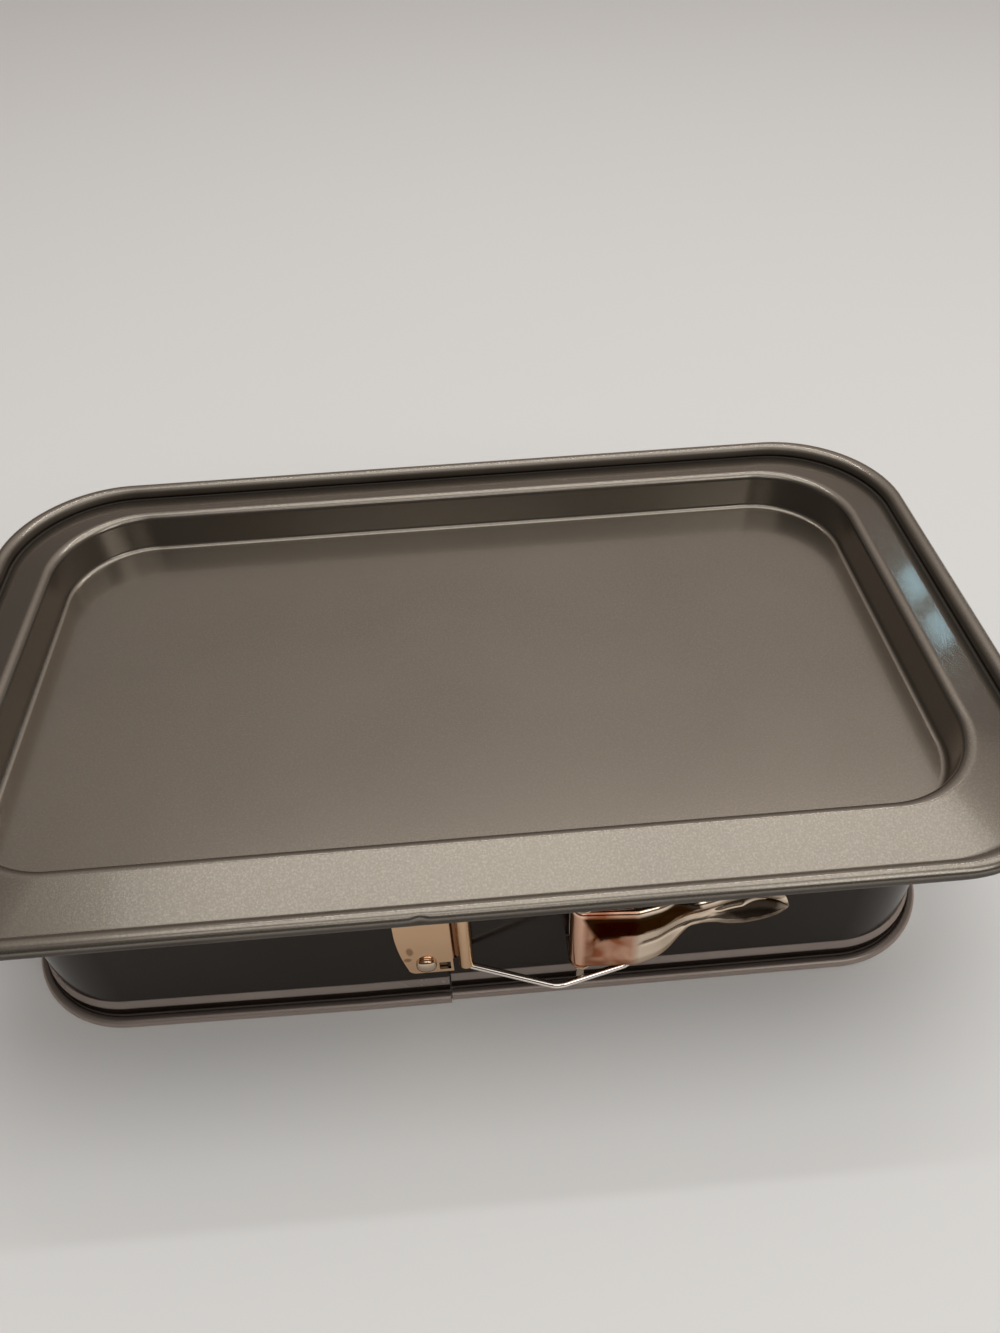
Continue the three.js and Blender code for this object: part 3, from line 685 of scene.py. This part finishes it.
# Painted reflection: the base's red and pink copper clouds, and a painted highlight on the roll.
LEVER_PAINTED_REFLECTION = {"red": (0.33, 0.115, 0.058), "pink": (0.62, 0.37, 0.26), "rubbed_and_highlit": (0.92, 0.58, 0.43),
        "cloud": 110.0, "swirl": 1.5, "turns": (0.38, 0.74)}
# Painted dark reflection on the upper base, arm and thumb hollow, and painted shade in the arm's groove.
LEVER_PAINTED_DARK = {"colour": (0.020, 0.012, 0.008), "cover": 0.96, "x": (32.4, 64), "top": 11.6, "lean": 5.0,
                 "ragged": 1.6, "groove_x": (44, 65), "groove_half": 0.5, "groove": 0.8}
PAINTED_DARK_FOOT = {"x": (32, 64), "h": (-1.9, 3.4)}
THUMB_PAINTED_DARK = {"x": 77.0, "h": -0.3, "wide": 12.5, "tall": 8.2, "torn": 0.15}


def through(x, knots, values):
    """A smooth curve through knots: on each span the cubic whose end slopes are the differences around it."""
    knots, values = np.asarray(knots, float), np.asarray(values, float)
    slopes = np.gradient(values, knots)
    k = np.clip(np.searchsorted(knots, x) - 1, 0, len(knots) - 2)
    span = knots[k + 1] - knots[k]
    t = np.clip((x - knots[k]) / span, 0, 1)
    rise = values[k + 1] - values[k]
    hermite = slopes[k] * span * t * (1 - t) ** 2 - slopes[k + 1] * span * t * t * (1 - t)
    return values[k] + rise * ease(t) + hermite


def lever_run():
    """Places along the lever past the roll: along the base and the arm, and round the thumb end, where the
    steps follow the sine of an angle so that they crowd together at the tip."""
    base = np.linspace(PIVOT["x"], LEVER_CREASE["x"], 44, endpoint=False)
    arm = np.linspace(LEVER_CREASE["x"], THUMB_MIDDLE, 70, endpoint=False)
    thumb = THUMB_MIDDLE + (LEVER_TIP - THUMB_MIDDLE) * np.sin(np.radians(np.linspace(0, 87, 30)))
    return np.concatenate([base, arm, thumb])


def lever_half(x):
    """Half the lever's height: the base, the neck, and half an ellipse round the thumb end."""
    neck = through(x, [42, *ARM_KNOTS, THUMB_MIDDLE], [LEVER_HALF, *ARM_HALF, THUMB_HALF])
    past = np.clip((x - THUMB_MIDDLE) / (LEVER_TIP - THUMB_MIDDLE), 0, 1)
    return np.where(x > THUMB_MIDDLE, THUMB_HALF * np.sqrt(1 - past ** 2), neck)


def lever_out(x):
    """How far the middle of the lever's sheet stands out from the wall: straight up the base to a sharp
    upright crease, then down in a smooth curve along the arm to the thumb end."""
    base = np.interp(x, [PIVOT["x"], LEVER_CREASE["x"]], [PIVOT["out"] + LEVER_ROLL, LEVER_CREASE["out"]])
    arm = through(x, [LEVER_CREASE["x"], *ARM_KNOTS, 79, LEVER_TIP],
                  [LEVER_CREASE["out"], *ARM_OUT, 4.65, 5.0])
    return np.where(x < LEVER_CREASE["x"], base, arm)


def pressed_line(x, h, line):
    """How far a line pressed along the lever stands out: rise * exp(-(distance / half)^2), by the distance
    from the line's height. It swells and dies along S curves."""
    swells, dies = [ease((x - start) / (stop - start)) for start, stop in (line["swells"], line["dies"])]
    away = (h - np.interp(x, line["x"], line["h"])) / line["half"]
    return line["rise"] * swells * (1 - dies) * np.exp(-away ** 2)


def thumb_lever():
    """At each place along the run stands a channel: two flanges, two elliptical bends and a hollow web
    between them, in the plane of the wall's height and the sheet's own normal. The hollow starts with a
    step beside the roll. It is a valley of two nearly flat slopes on the base and the arm, shallower at
    the neck, and turns into a round spoon at the thumb end. A groove and a rib are pressed into it."""
    roll = arc(PIVOT["x"], PIVOT["out"], LEVER_ROLL, 195, 92, 16)
    x = lever_run()
    line = np.concatenate([roll, np.stack([x, lever_out(x)], -1)])
    along = unit(np.gradient(line, axis=0))
    normal = np.stack([-along[:, 1], along[:, 0]], -1)
    run = np.maximum(line[:, 0], PIVOT["x"])
    half = np.maximum(lever_half(run) - LEVER_SHEET / 2, 0.5)[:, None]
    bend_wide = np.minimum(np.interp(run, *BEND_WIDE)[:, None], 0.45 * half)
    bend_deep = np.interp(run, *BEND_DEEP)[:, None]
    dish = through(run, *DISH_DEEP)[:, None]
    rolled = np.arange(len(line)) < len(roll)
    flange = np.where(rolled, ROLL_FLANGE, np.interp(run, *FLANGE_DEEP))[:, None]
    turn = np.radians(np.linspace(0, 90, 11))[None]
    web = np.linspace(-1, 1, 57)[None, 1:-1]
    drop = np.linspace(1, 0, 6)[None, :-1]
    shape = np.clip(1 - np.abs(web) / DISH_WIDTH, 0, 1)
    spoon = ease((run - SPOON["x"]) / SPOON["run"])[:, None]
    hollow = shape * (1 + (VALLEY_ROUND * (1 - spoon) + spoon) * (1 - shape))
    lower_h = np.concatenate([-half + 0 * drop, -(half - bend_wide) - bend_wide * np.cos(turn)], 1)
    lower_d = np.concatenate([-bend_deep - flange * drop, -bend_deep + bend_deep * np.sin(turn)], 1)
    h = np.concatenate([lower_h, (half - bend_wide) * web, -lower_h[:, ::-1]], 1)
    d = np.concatenate([lower_d, -dish * hollow, lower_d[:, ::-1]], 1)
    d += pressed_line(run[:, None], h, THUMB_RIB) + pressed_line(run[:, None], h, ARM_GROOVE)
    section = sheet_section(np.stack([h, d], -1), LEVER_SHEET)
    x_out = line[:, None, :] + section[..., 1:] * normal[:, None, :]
    return swept(clasp(x_out[..., 0], x_out[..., 1], section[..., 0]))


def lever_painted_reflection(tree, place):
    """A mask of one on the base up to the upright crease, and a painted copper reflection there: clouded
    between red and pink, with a painted highlight bright on the roll."""
    along = node(tree, "ShaderNodeSeparateXYZ", Vector=place).outputs["X"]
    cloud = noise(tree, place, LEVER_PAINTED_REFLECTION["cloud"], 1.0, distortion=LEVER_PAINTED_REFLECTION["swirl"])
    # Painted copper reflection clouded between red and pink.
    clouded = mixed(tree, ranged(tree, cloud, 0.0, 1.0, *LEVER_PAINTED_REFLECTION["turns"]), LEVER_PAINTED_REFLECTION["red"], LEVER_PAINTED_REFLECTION["pink"])
    flat = ranged(tree, along, 0.0, 1.0, (PIVOT["x"] - 0.5) * MM, (PIVOT["x"] + 1.0) * MM)
    base = ranged(tree, along, 1.0, 0.0, (LEVER_CREASE["x"] - 1.2) * MM, (LEVER_CREASE["x"] + 1.6) * MM)
    return base, mixed(tree, flat, LEVER_PAINTED_REFLECTION["rubbed_and_highlit"], clouded)


def line_height(tree, axes, line):
    """How high a line over the lever's face runs, given by heights at places along it."""
    level = (CLASP_Z + line["h"][0]) * MM
    for k in range(len(line["x"]) - 1):
        climb = (line["h"][k + 1] - line["h"][k]) * MM
        step = ranged(tree, axes["X"], 0.0, climb, line["x"][k] * MM, line["x"][k + 1] * MM)
        level = reckoned(tree, "ADD", level, step)
    return level


def beside(tree, axes, line, half):
    """One within about half a width of such a line, with soft edges."""
    off = reckoned(tree, "SUBTRACT", axes["Z"], line_height(tree, axes, line))
    away = reckoned(tree, "ABSOLUTE", off, 0.0)
    return ranged(tree, away, 1.0, 0.0, 0.6 * half * MM, 1.4 * half * MM)


def lever_painted_dark(tree, place):
    """Painted dark reflection above a foot line that climbs from the base to the neck, with its end by the
    roll leaning to the left, painted shade in the fine groove down the arm, and painted dark reflection
    in the thumb's hollow on both sides of its rib."""
    axes = node(tree, "ShaderNodeSeparateXYZ", Vector=place).outputs
    # Painted dark reflection and shade, not residue.
    low, top = CLASP_Z + PAINTED_DARK_FOOT["h"][0], CLASP_Z + LEVER_PAINTED_DARK["top"]
    torn = LEVER_PAINTED_DARK["ragged"] * MM
    frayed = ranged(tree, noise(tree, place, 220.0, 2.0, 0.6), -torn, torn)
    foot = reckoned(tree, "ADD", line_height(tree, axes, PAINTED_DARK_FOOT), frayed)
    above = ranged(tree, reckoned(tree, "SUBTRACT", axes["Z"], foot), 0.0, 1.0, -0.4 * MM, 0.8 * MM)
    below = ranged(tree, axes["Z"], 1.0, 0.0, top * MM, (top + 1) * MM)
    lean = ranged(tree, axes["Z"], 0.0, LEVER_PAINTED_DARK["lean"] * MM, low * MM, top * MM)
    along = between(tree, reckoned(tree, "ADD", axes["X"], lean), *LEVER_PAINTED_DARK["x"], 0.6)
    upper = times(tree, times(tree, above, below), along)
    groove = beside(tree, axes, ARM_GROOVE, LEVER_PAINTED_DARK["groove_half"])
    groove = times(tree, groove, between(tree, axes["X"], *LEVER_PAINTED_DARK["groove_x"], 1.2))
    upper = reckoned(tree, "MAXIMUM", upper, times(tree, groove, LEVER_PAINTED_DARK["groove"]))
    rib = beside(tree, axes, THUMB_RIB, THUMB_RIB["half"])
    hollow = reckoned(tree, "SUBTRACT", ragged_patch(tree, place, THUMB_PAINTED_DARK), rib)
    stain_and_shade = times(tree, reckoned(tree, "MAXIMUM", upper, hollow), LEVER_PAINTED_DARK["cover"])
    return stain_and_shade, LEVER_PAINTED_DARK["colour"]


LEVER_FINISH = plating("lever_plating", tint=(0.82, 0.68, 0.54), dark=(0.74, 0.60, 0.47), hammered=0.12,
                       edge=(0.48, 0.38, 0.30), painted_reflection=lever_painted_reflection, stains_and_shade=lever_painted_dark)
lever = make_piece("thumb_lever", [thumb_lever()], LEVER_FINISH, sharp=60)
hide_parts("clasp_lever")
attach(lever, "lever")

# Wire bail: one bent piece of bright spring wire. Its long leg turns in the sleeve, two limbs bow out
# past the pivot, and its tips turn in to the lever's flanges.
WIRE_RADIUS = 1.0
WIRE_SIDES = 24
WIRE_LIMB = 20.8
WIRE_APEX = {"x": 20.5, "out": 12.9}
EYE = {"x": 42.2, "out": 7.6}
WIRE_BEND = 2.4
WIRE_TIP = LEVER_HALF + FIT_GAP
WIRE_UP = np.array([-0.3, 0.95, 0.0])


def bent_path(corners, bend):
    """Straight runs between corners, each corner rounded by the curve (1-t)^2 a + 2t(1-t) corner + t^2 b
    from a point one bend before it to a point one bend after it."""
    corner = corners[1:-1]
    a = corner + unit(corners[:-2] - corner) * bend
    b = corner + unit(corners[2:] - corner) * bend
    t = np.linspace(0, 1, 13)[None, :, None]
    curve = (1 - t) ** 2 * a[:, None] + 2 * t * (1 - t) * corner[:, None] + t * t * b[:, None]
    return np.concatenate([corners[:1], curve.reshape(-1, 3), corners[-1:]])


def wire_bail():
    """A circle carried along the bent path, held square to it by a direction that no run points along."""
    upper = np.array([[EYE["x"], EYE["out"], WIRE_TIP], [EYE["x"], EYE["out"], WIRE_LIMB],
                      [WIRE_APEX["x"], WIRE_APEX["out"], WIRE_LIMB], [SLEEVE["x"], SLEEVE["out"], WIRE_LIMB]])
    path = bent_path(np.concatenate([upper, upper[::-1] * [1, 1, -1]]), WIRE_BEND)
    along = unit(np.gradient(path, axis=0))
    across = unit(WIRE_UP - (along @ WIRE_UP)[:, None] * along)
    third = np.cross(along, across)
    angle = np.linspace(0, 2 * np.pi, WIRE_SIDES, endpoint=False)[None, :, None]
    rings = path[:, None] + WIRE_RADIUS * (np.cos(angle) * across[:, None] + np.sin(angle) * third[:, None])
    return swept(clasp(rings[..., 0], rings[..., 1], rings[..., 2]))


WIRE_FINISH = plating("wire_plating", tint=(0.97, 0.91, 0.86), dark=(0.90, 0.82, 0.76),
                      gloss=(0.03, 0.06), hammered=0.02)
wire = make_piece("bail_wire", [wire_bail()], WIRE_FINISH, sharp=50)
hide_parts("wire_bail")
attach(wire, "wire")

# Base tray: pressed from one coated sheet. A flat floor drops inside the ring by a short step; outside
# it a wide rim slopes down to a rolled edge. It stays loose and the closed ring grips its step.
tray_low, tray_high = node_box("base_tray")
TRAY_TOP = 79.9
STEP_DRAFT = 0.7
STEP_BEND = 2.2
FLOOR_BEND = 2.0
FLOOR_MIDDLE = -70.0
RIM_SLOPE = 16.45
TRAY_BEAD = 2.7
TRAY_BEAD_OUT = tray_high[0] - STEP_HALF_LENGTH - TRAY_BEAD
TRAY_BEAD_DROP = 3.4
TRAY_BEAD_CORNER = 40.1
TRAY_BEAD_TURN = 302
GROOVE_EDGE = 1.2
INNER_FADE = (0.9, 0.35)
OUTER_FADE = (0.55, 0.1)
FLOOR_ROWS = (FLOOR_MIDDLE, -58, -46, -34, -22, -12, -6, -3.6)
SLOPE_ROWS = (0.04, 0.12, 0.3, 0.5, 0.7, 0.8, 0.84, 0.88, 0.92, 0.96)
DENT = {"x": -15.4, "above": 1, "depth": 0.4, "width": 1.7, "span": 0.02}
NICK = {"place": (-25.4, -95.2, 76.6), "radius": 0.8, "colour": (0.01, 0.008, 0.007)}
TRAY_GREY = ((0.216, 0.197, 0.170), (0.236, 0.216, 0.186))
TRAY_SPARK = (0.33, 0.305, 0.266)
TRAY_FLECK = {"scale": 1700.0, "gloss": (0.27, 0.20), "bump": (0.1, 0.00005)}
TRAY_METAL = 0.9
TRAY_LACQUER = {"weight": 0.6, "roughness": 0.08}
TRAY_SHEEN = (1.0, 0.92, 0.84)
# Painted shade in the groove by the rolled edge and painted dark reflection on its underside.
RIM_PAINTED_SHADE = {"colour": (0.030, 0.021, 0.015), "dulls": 0.35, "patchy": (0.8, 1.0)}


def tray_outline(out, t):
    """The tray in plan at distances out from the step: a rectangle whose corner radius grows more slowly
    than its sides move out. Signs slide a corner's centre along the straights while the angle turns."""
    corner = STEP_CORNER + out * (TRAY_BEAD_CORNER - STEP_CORNER) / TRAY_BEAD_OUT
    corner = np.clip(corner, 0, None)[:, None]
    sign_x = np.interp(t, [1, 2, 5, 6], [1, -1, -1, 1])
    sign_y = np.interp(t, [3, 4, 7, 8], [1, -1, -1, 1])
    angle = np.pi / 2 * np.interp(t, range(9), [0, 1, 1, 2, 2, 3, 3, 4, 4])
    x = sign_x * (STEP_HALF_LENGTH + out[:, None] - corner) + corner * np.cos(angle)
    y = sign_y * (STEP_HALF_WIDTH + out[:, None] - corner) + corner * np.sin(angle)
    return x, y


def tray_section():
    """Across the floor, up round the floor bend, up the step, over the step bend, down the rim and round
    the rolled edge. The step bend lies where the rim's slope, drawn back from the edge, meets the step."""
    half = SHEET / 2
    floor = tray_low[2] + half
    slope = np.radians(RIM_SLOPE)
    floor_bend = arc(half - STEP_DRAFT - FLOOR_BEND, floor + FLOOR_BEND, FLOOR_BEND, -90, 0, 14)
    start = 270 - RIM_SLOPE
    bead = arc(TRAY_BEAD_OUT, TRAY_TOP - TRAY_BEAD_DROP, TRAY_BEAD - half, start, start + TRAY_BEAD_TURN, 60)
    rim_run = bead[0, 0] - half - STEP_BEND * (1 + np.sin(slope))
    bend_z = bead[0, 1] + rim_run * np.tan(slope) - STEP_BEND * np.cos(slope)
    step_bend = arc(half + STEP_BEND, bend_z, STEP_BEND, 180, 90 - RIM_SLOPE, 14)
    share = np.array(SLOPE_ROWS)[:, None]
    return sheet_section(np.concatenate([
        np.stack([FLOOR_ROWS, np.full(len(FLOOR_ROWS), floor)], -1), floor_bend,
        floor_bend[-1] * (1 - share) + step_bend[0] * share, step_bend,
        step_bend[-1] * (1 - share) + bead[0] * share, bead]), SHEET)


def tray_skin():
    """The section carried round the outline, with closer steps at a small dent in the front edge. The dent
    pushes the rolled edge in by depth * exp(-(distance / width)^2)."""
    section = tray_section()
    dent_t = 5.5 + 0.5 * DENT["x"] / (STEP_HALF_LENGTH + TRAY_BEAD_OUT - TRAY_BEAD_CORNER)
    t = spaced([28, 40, 28, 30, 28, 40, 28, 30])[:-1]
    t = np.unique(np.concatenate([t, np.linspace(dent_t - DENT["span"], dent_t + DENT["span"], 15)]))
    x, y = tray_outline(section[:, 0], t)
    skin = np.stack([x, y, np.broadcast_to(section[:, 1:], x.shape)], -1)
    bead_y = -STEP_HALF_WIDTH - TRAY_BEAD_OUT - TRAY_BEAD
    dented = np.array([DENT["x"], bead_y, TRAY_TOP - TRAY_BEAD_DROP + DENT["above"]])
    away = np.linalg.norm(skin - dented, axis=-1) / DENT["width"]
    skin[..., 1] += DENT["depth"] * np.exp(-away ** 2)
    return skin


def tray_painted_rim_shade(skin):
    """How much painted shade the coat gets at each point: painted shade fully in the groove beside the
    rolled edge and painted dark reflection on the edge's underside, from how far up the direction from the
    roll's middle points."""
    section = tray_section()
    away = section - [TRAY_BEAD_OUT, TRAY_TOP - TRAY_BEAD_DROP]
    up = away[:, 1] / np.linalg.norm(away, axis=1)
    inner, outer = [ease((up - high) / (low - high)) for high, low in (INNER_FADE, OUTER_FADE)]
    edge = ease((away[:, 0] + TRAY_BEAD + GROOVE_EDGE) / GROOVE_EDGE)
    painted_rim_shade = np.where(away[:, 0] < 0, inner, outer) * edge
    return np.broadcast_to(painted_rim_shade[:, None], skin.shape[:2]).ravel()


def tray_coat():
    """Satin warm-grey baked coat with metal in it: a very fine fleck in colour, gloss and surface, a soft
    mottle over the large faces, a dark nick beside the front edge, and dull dark brown painted shade in
    the groove by the rolled edge with painted dark reflection on the edge's underside."""
    finish, tree, shader, place = new_finish("tray_satin_coat")
    fleck, mottle = grain(tree, place, TRAY_FLECK["scale"])
    spark = ranged(tree, fleck, 0.0, 0.5, 0.40, 1.0)
    speckled = mixed(tree, spark, mixed(tree, mottle, *TRAY_GREY), TRAY_SPARK)
    nick = vectored(tree, "DISTANCE", place, [length * MM for length in NICK["place"]])
    bare = ranged(tree, nick, 1.0, 0.0, NICK["radius"] * 0.7 * MM, NICK["radius"] * MM)
    chipped = mixed(tree, bare, speckled, NICK["colour"])
    painted_rim_shade = node(tree, "ShaderNodeAttribute", {"attribute_name": "painted_rim_shade"}).outputs["Fac"]
    # Painted shade and dark reflection round the rolled edge, dull and not metallic.
    rim_shade = times(tree, painted_rim_shade, ranged(tree, mottle, *RIM_PAINTED_SHADE["patchy"]))
    dulled = times(tree, rim_shade, RIM_PAINTED_SHADE["dulls"])
    feed(tree, shader, {
        "Base Color": mixed(tree, rim_shade, chipped, RIM_PAINTED_SHADE["colour"]),
        "Roughness": reckoned(tree, "ADD", ranged(tree, fleck, *TRAY_FLECK["gloss"]), dulled),
        "Metallic": ranged(tree, rim_shade, TRAY_METAL, 0.0),
        "Coat Weight": ranged(tree, rim_shade, TRAY_LACQUER["weight"], 0.0),
        "Coat Roughness": TRAY_LACQUER["roughness"], "Specular Tint": TRAY_SHEEN,
        "Normal": bumped(tree, fleck, *TRAY_FLECK["bump"])})
    return finish


tray_shape = tray_skin()
tray = make_piece("tray_pressing", [swept(tray_shape)], tray_coat(), sharp=50,
                  painted_rim_shade=tray_painted_rim_shade(tray_shape))
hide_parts("base_tray")
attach(tray, "tray")

# Floor: a plain pale table top, wide enough to fill the picture. It stands in for a blank background and
# keeps the pan's shadow.
FLOOR_SIZE = 8.0
FLOOR_ROUGHNESS = 0.75
FLOOR_WHITE = ((0.87, 0.905, 0.93), (0.89, 0.925, 0.95))


def pale_floor():
    """Matt off-white with a barely visible mottle."""
    finish, tree, shader, place = new_finish("pale_floor")
    white = mixed(tree, noise(tree, place, 3.0, 2.0), *FLOOR_WHITE)
    feed(tree, shader, {"Base Color": white, "Roughness": FLOOR_ROUGHNESS})
    return finish


floor_mesh = bpy.data.meshes.new("floor")
corner = FLOOR_SIZE / 2
floor_corners = [(-corner, -corner, 0), (corner, -corner, 0), (corner, corner, 0), (-corner, corner, 0)]
floor_mesh.from_pydata(floor_corners, [], [(0, 1, 2, 3)])
floor_mesh.materials.append(pale_floor())
table_top = placed("floor", floor_mesh)

# Light: a wide softbox overhead, a narrow one behind it for the rolled edges, three dim ones in front for
# the bright metal, a cool window of two panes low at the back right and a warm dome that darkens towards
# the horizon, the front and the left.
WINDOW_PANE = {"along": (0.535, -0.815, 0.22), "radiance": 8.0, "colour": (0.5, 0.85, 1.0)}
SOFTBOXES = {
    "overhead": dict(place=(0.26, -0.02, 1.6), size=(1.95, 0.9), radiance=1.15, colour=(1.0, 1.0, 0.96)),
    "behind": dict(place=(0.2, 0.66, 1.48), size=(1.4, 0.05), radiance=11.0, colour=(1.0, 0.98, 0.94)),
    "front": dict(place=(0.1, -0.95, 1.35), size=(1.4, 0.5), radiance=1.1, colour=(1.0, 0.97, 0.93)),
    "front_low": dict(place=(-0.05, -1.3, 0.95), size=(0.5, 0.3), radiance=1.3, colour=(1.0, 0.96, 0.90)),
    "front_right": dict(place=(0.766, -1.116, 0.92), size=(0.75, 0.5), radiance=2.0, colour=(1, 0.98, 0.92)),
    "far_pane": dict(place=(1.842, 1.709, 0.784), size=(0.085, 0.035), **WINDOW_PANE),
    "near_pane": dict(place=(1.914, 1.600, 0.813), size=(0.09, 0.035), **WINDOW_PANE),
}
LIGHT_AIM = Vector((0, 0, 0.07))
DOME_STEPS = [(0, 0.28), (0.2, 0.24), (0.4, 0.32), (0.5, 0.48), (0.7, 0.69), (0.82, 0.71), (1, 0.9)]
DOME_TINT = np.array([1.0, 0.875, 0.79])
DOME_FRONT = {"level": 0.4, "y": (-0.7, 0.4)}
DOME_LEFT = {"level": 0.38, "x": (-0.9, 0.1)}

for label, box in SOFTBOXES.items():
    lamp = bpy.data.lights.new(f"softbox_{label}", "AREA")
    lamp.shape = "RECTANGLE"
    lamp.size, lamp.size_y = box["size"]
    lamp.energy = box["radiance"] * np.pi * lamp.size * lamp.size_y
    lamp.color = box["colour"]
    stand = placed(lamp.name, lamp)
    stand.location = box["place"]
    facing = (stand.location - LIGHT_AIM).normalized()
    across = facing.cross(Vector(box.get("along", (1, 0, 0)))).normalized()
    stand.rotation_euler = Matrix([across.cross(facing), across, facing]).transposed().to_euler()


def dome():
    """Sky that brightens with the sine of the height above the horizon, from the front to the back and
    from the left to the right."""
    world = bpy.data.worlds.new("studio_dome")
    world.use_nodes = True
    tree = world.node_tree
    sky = tree.nodes.new("ShaderNodeTexCoord").outputs["Generated"]
    way = node(tree, "ShaderNodeSeparateXYZ", Vector=sky).outputs
    ramp = node(tree, "ShaderNodeValToRGB", Fac=way["Z"])
    stops = ramp.color_ramp.elements
    while len(stops) < len(DOME_STEPS):
        stops.new(0.5)
    for stop, (position, level) in zip(stops, DOME_STEPS):
        stop.position = position
        stop.color = (*(level * DOME_TINT), 1)
    depth = ranged(tree, way["Y"], DOME_FRONT["level"], 1.0, *DOME_FRONT["y"])
    side = ranged(tree, way["X"], DOME_LEFT["level"], 1.0, *DOME_LEFT["x"])
    feed(tree, tree.nodes["Background"], {
        "Color": ramp.outputs["Color"], "Strength": times(tree, depth, side)})
    return world


bpy.context.scene.world = dome()
bpy.context.scene.view_settings.view_transform = "Standard"

# Camera: a phone held in front of the pan, looking down on it and tilted a little to the side. Angles
# and distance were fitted to the tray's creases and rolled edge.
CAMERA_AZIMUTH = np.radians(-2.57)
CAMERA_ELEVATION = np.radians(44.63)
CAMERA_ROLL = np.radians(-2.52)
CAMERA_TARGET = np.array([10.98, -15.6, 79.9])
CAMERA_DISTANCE = 304.6
CAMERA_LENS = 36.0
CAMERA_SENSOR = 36.0

camera_data = bpy.data.cameras.new("photo_camera")
camera_data.sensor_fit = "HORIZONTAL"
camera_data.sensor_width = CAMERA_SENSOR
camera_data.lens = CAMERA_LENS
camera_data.clip_start = 0.01
camera = placed("photo_camera", camera_data)
turn = Matrix.Rotation(CAMERA_AZIMUTH, 4, "Z") @ Matrix.Rotation(np.pi / 2 - CAMERA_ELEVATION, 4, "X")
turn = turn @ Matrix.Rotation(CAMERA_ROLL, 4, "Z")
back = Matrix.Translation((0, 0, CAMERA_DISTANCE * MM))
camera.matrix_world = Matrix.Translation(CAMERA_TARGET * MM) @ turn @ back
bpy.context.scene.camera = camera

# Last: the view layer is brought up to date.
bpy.context.view_layer.update()
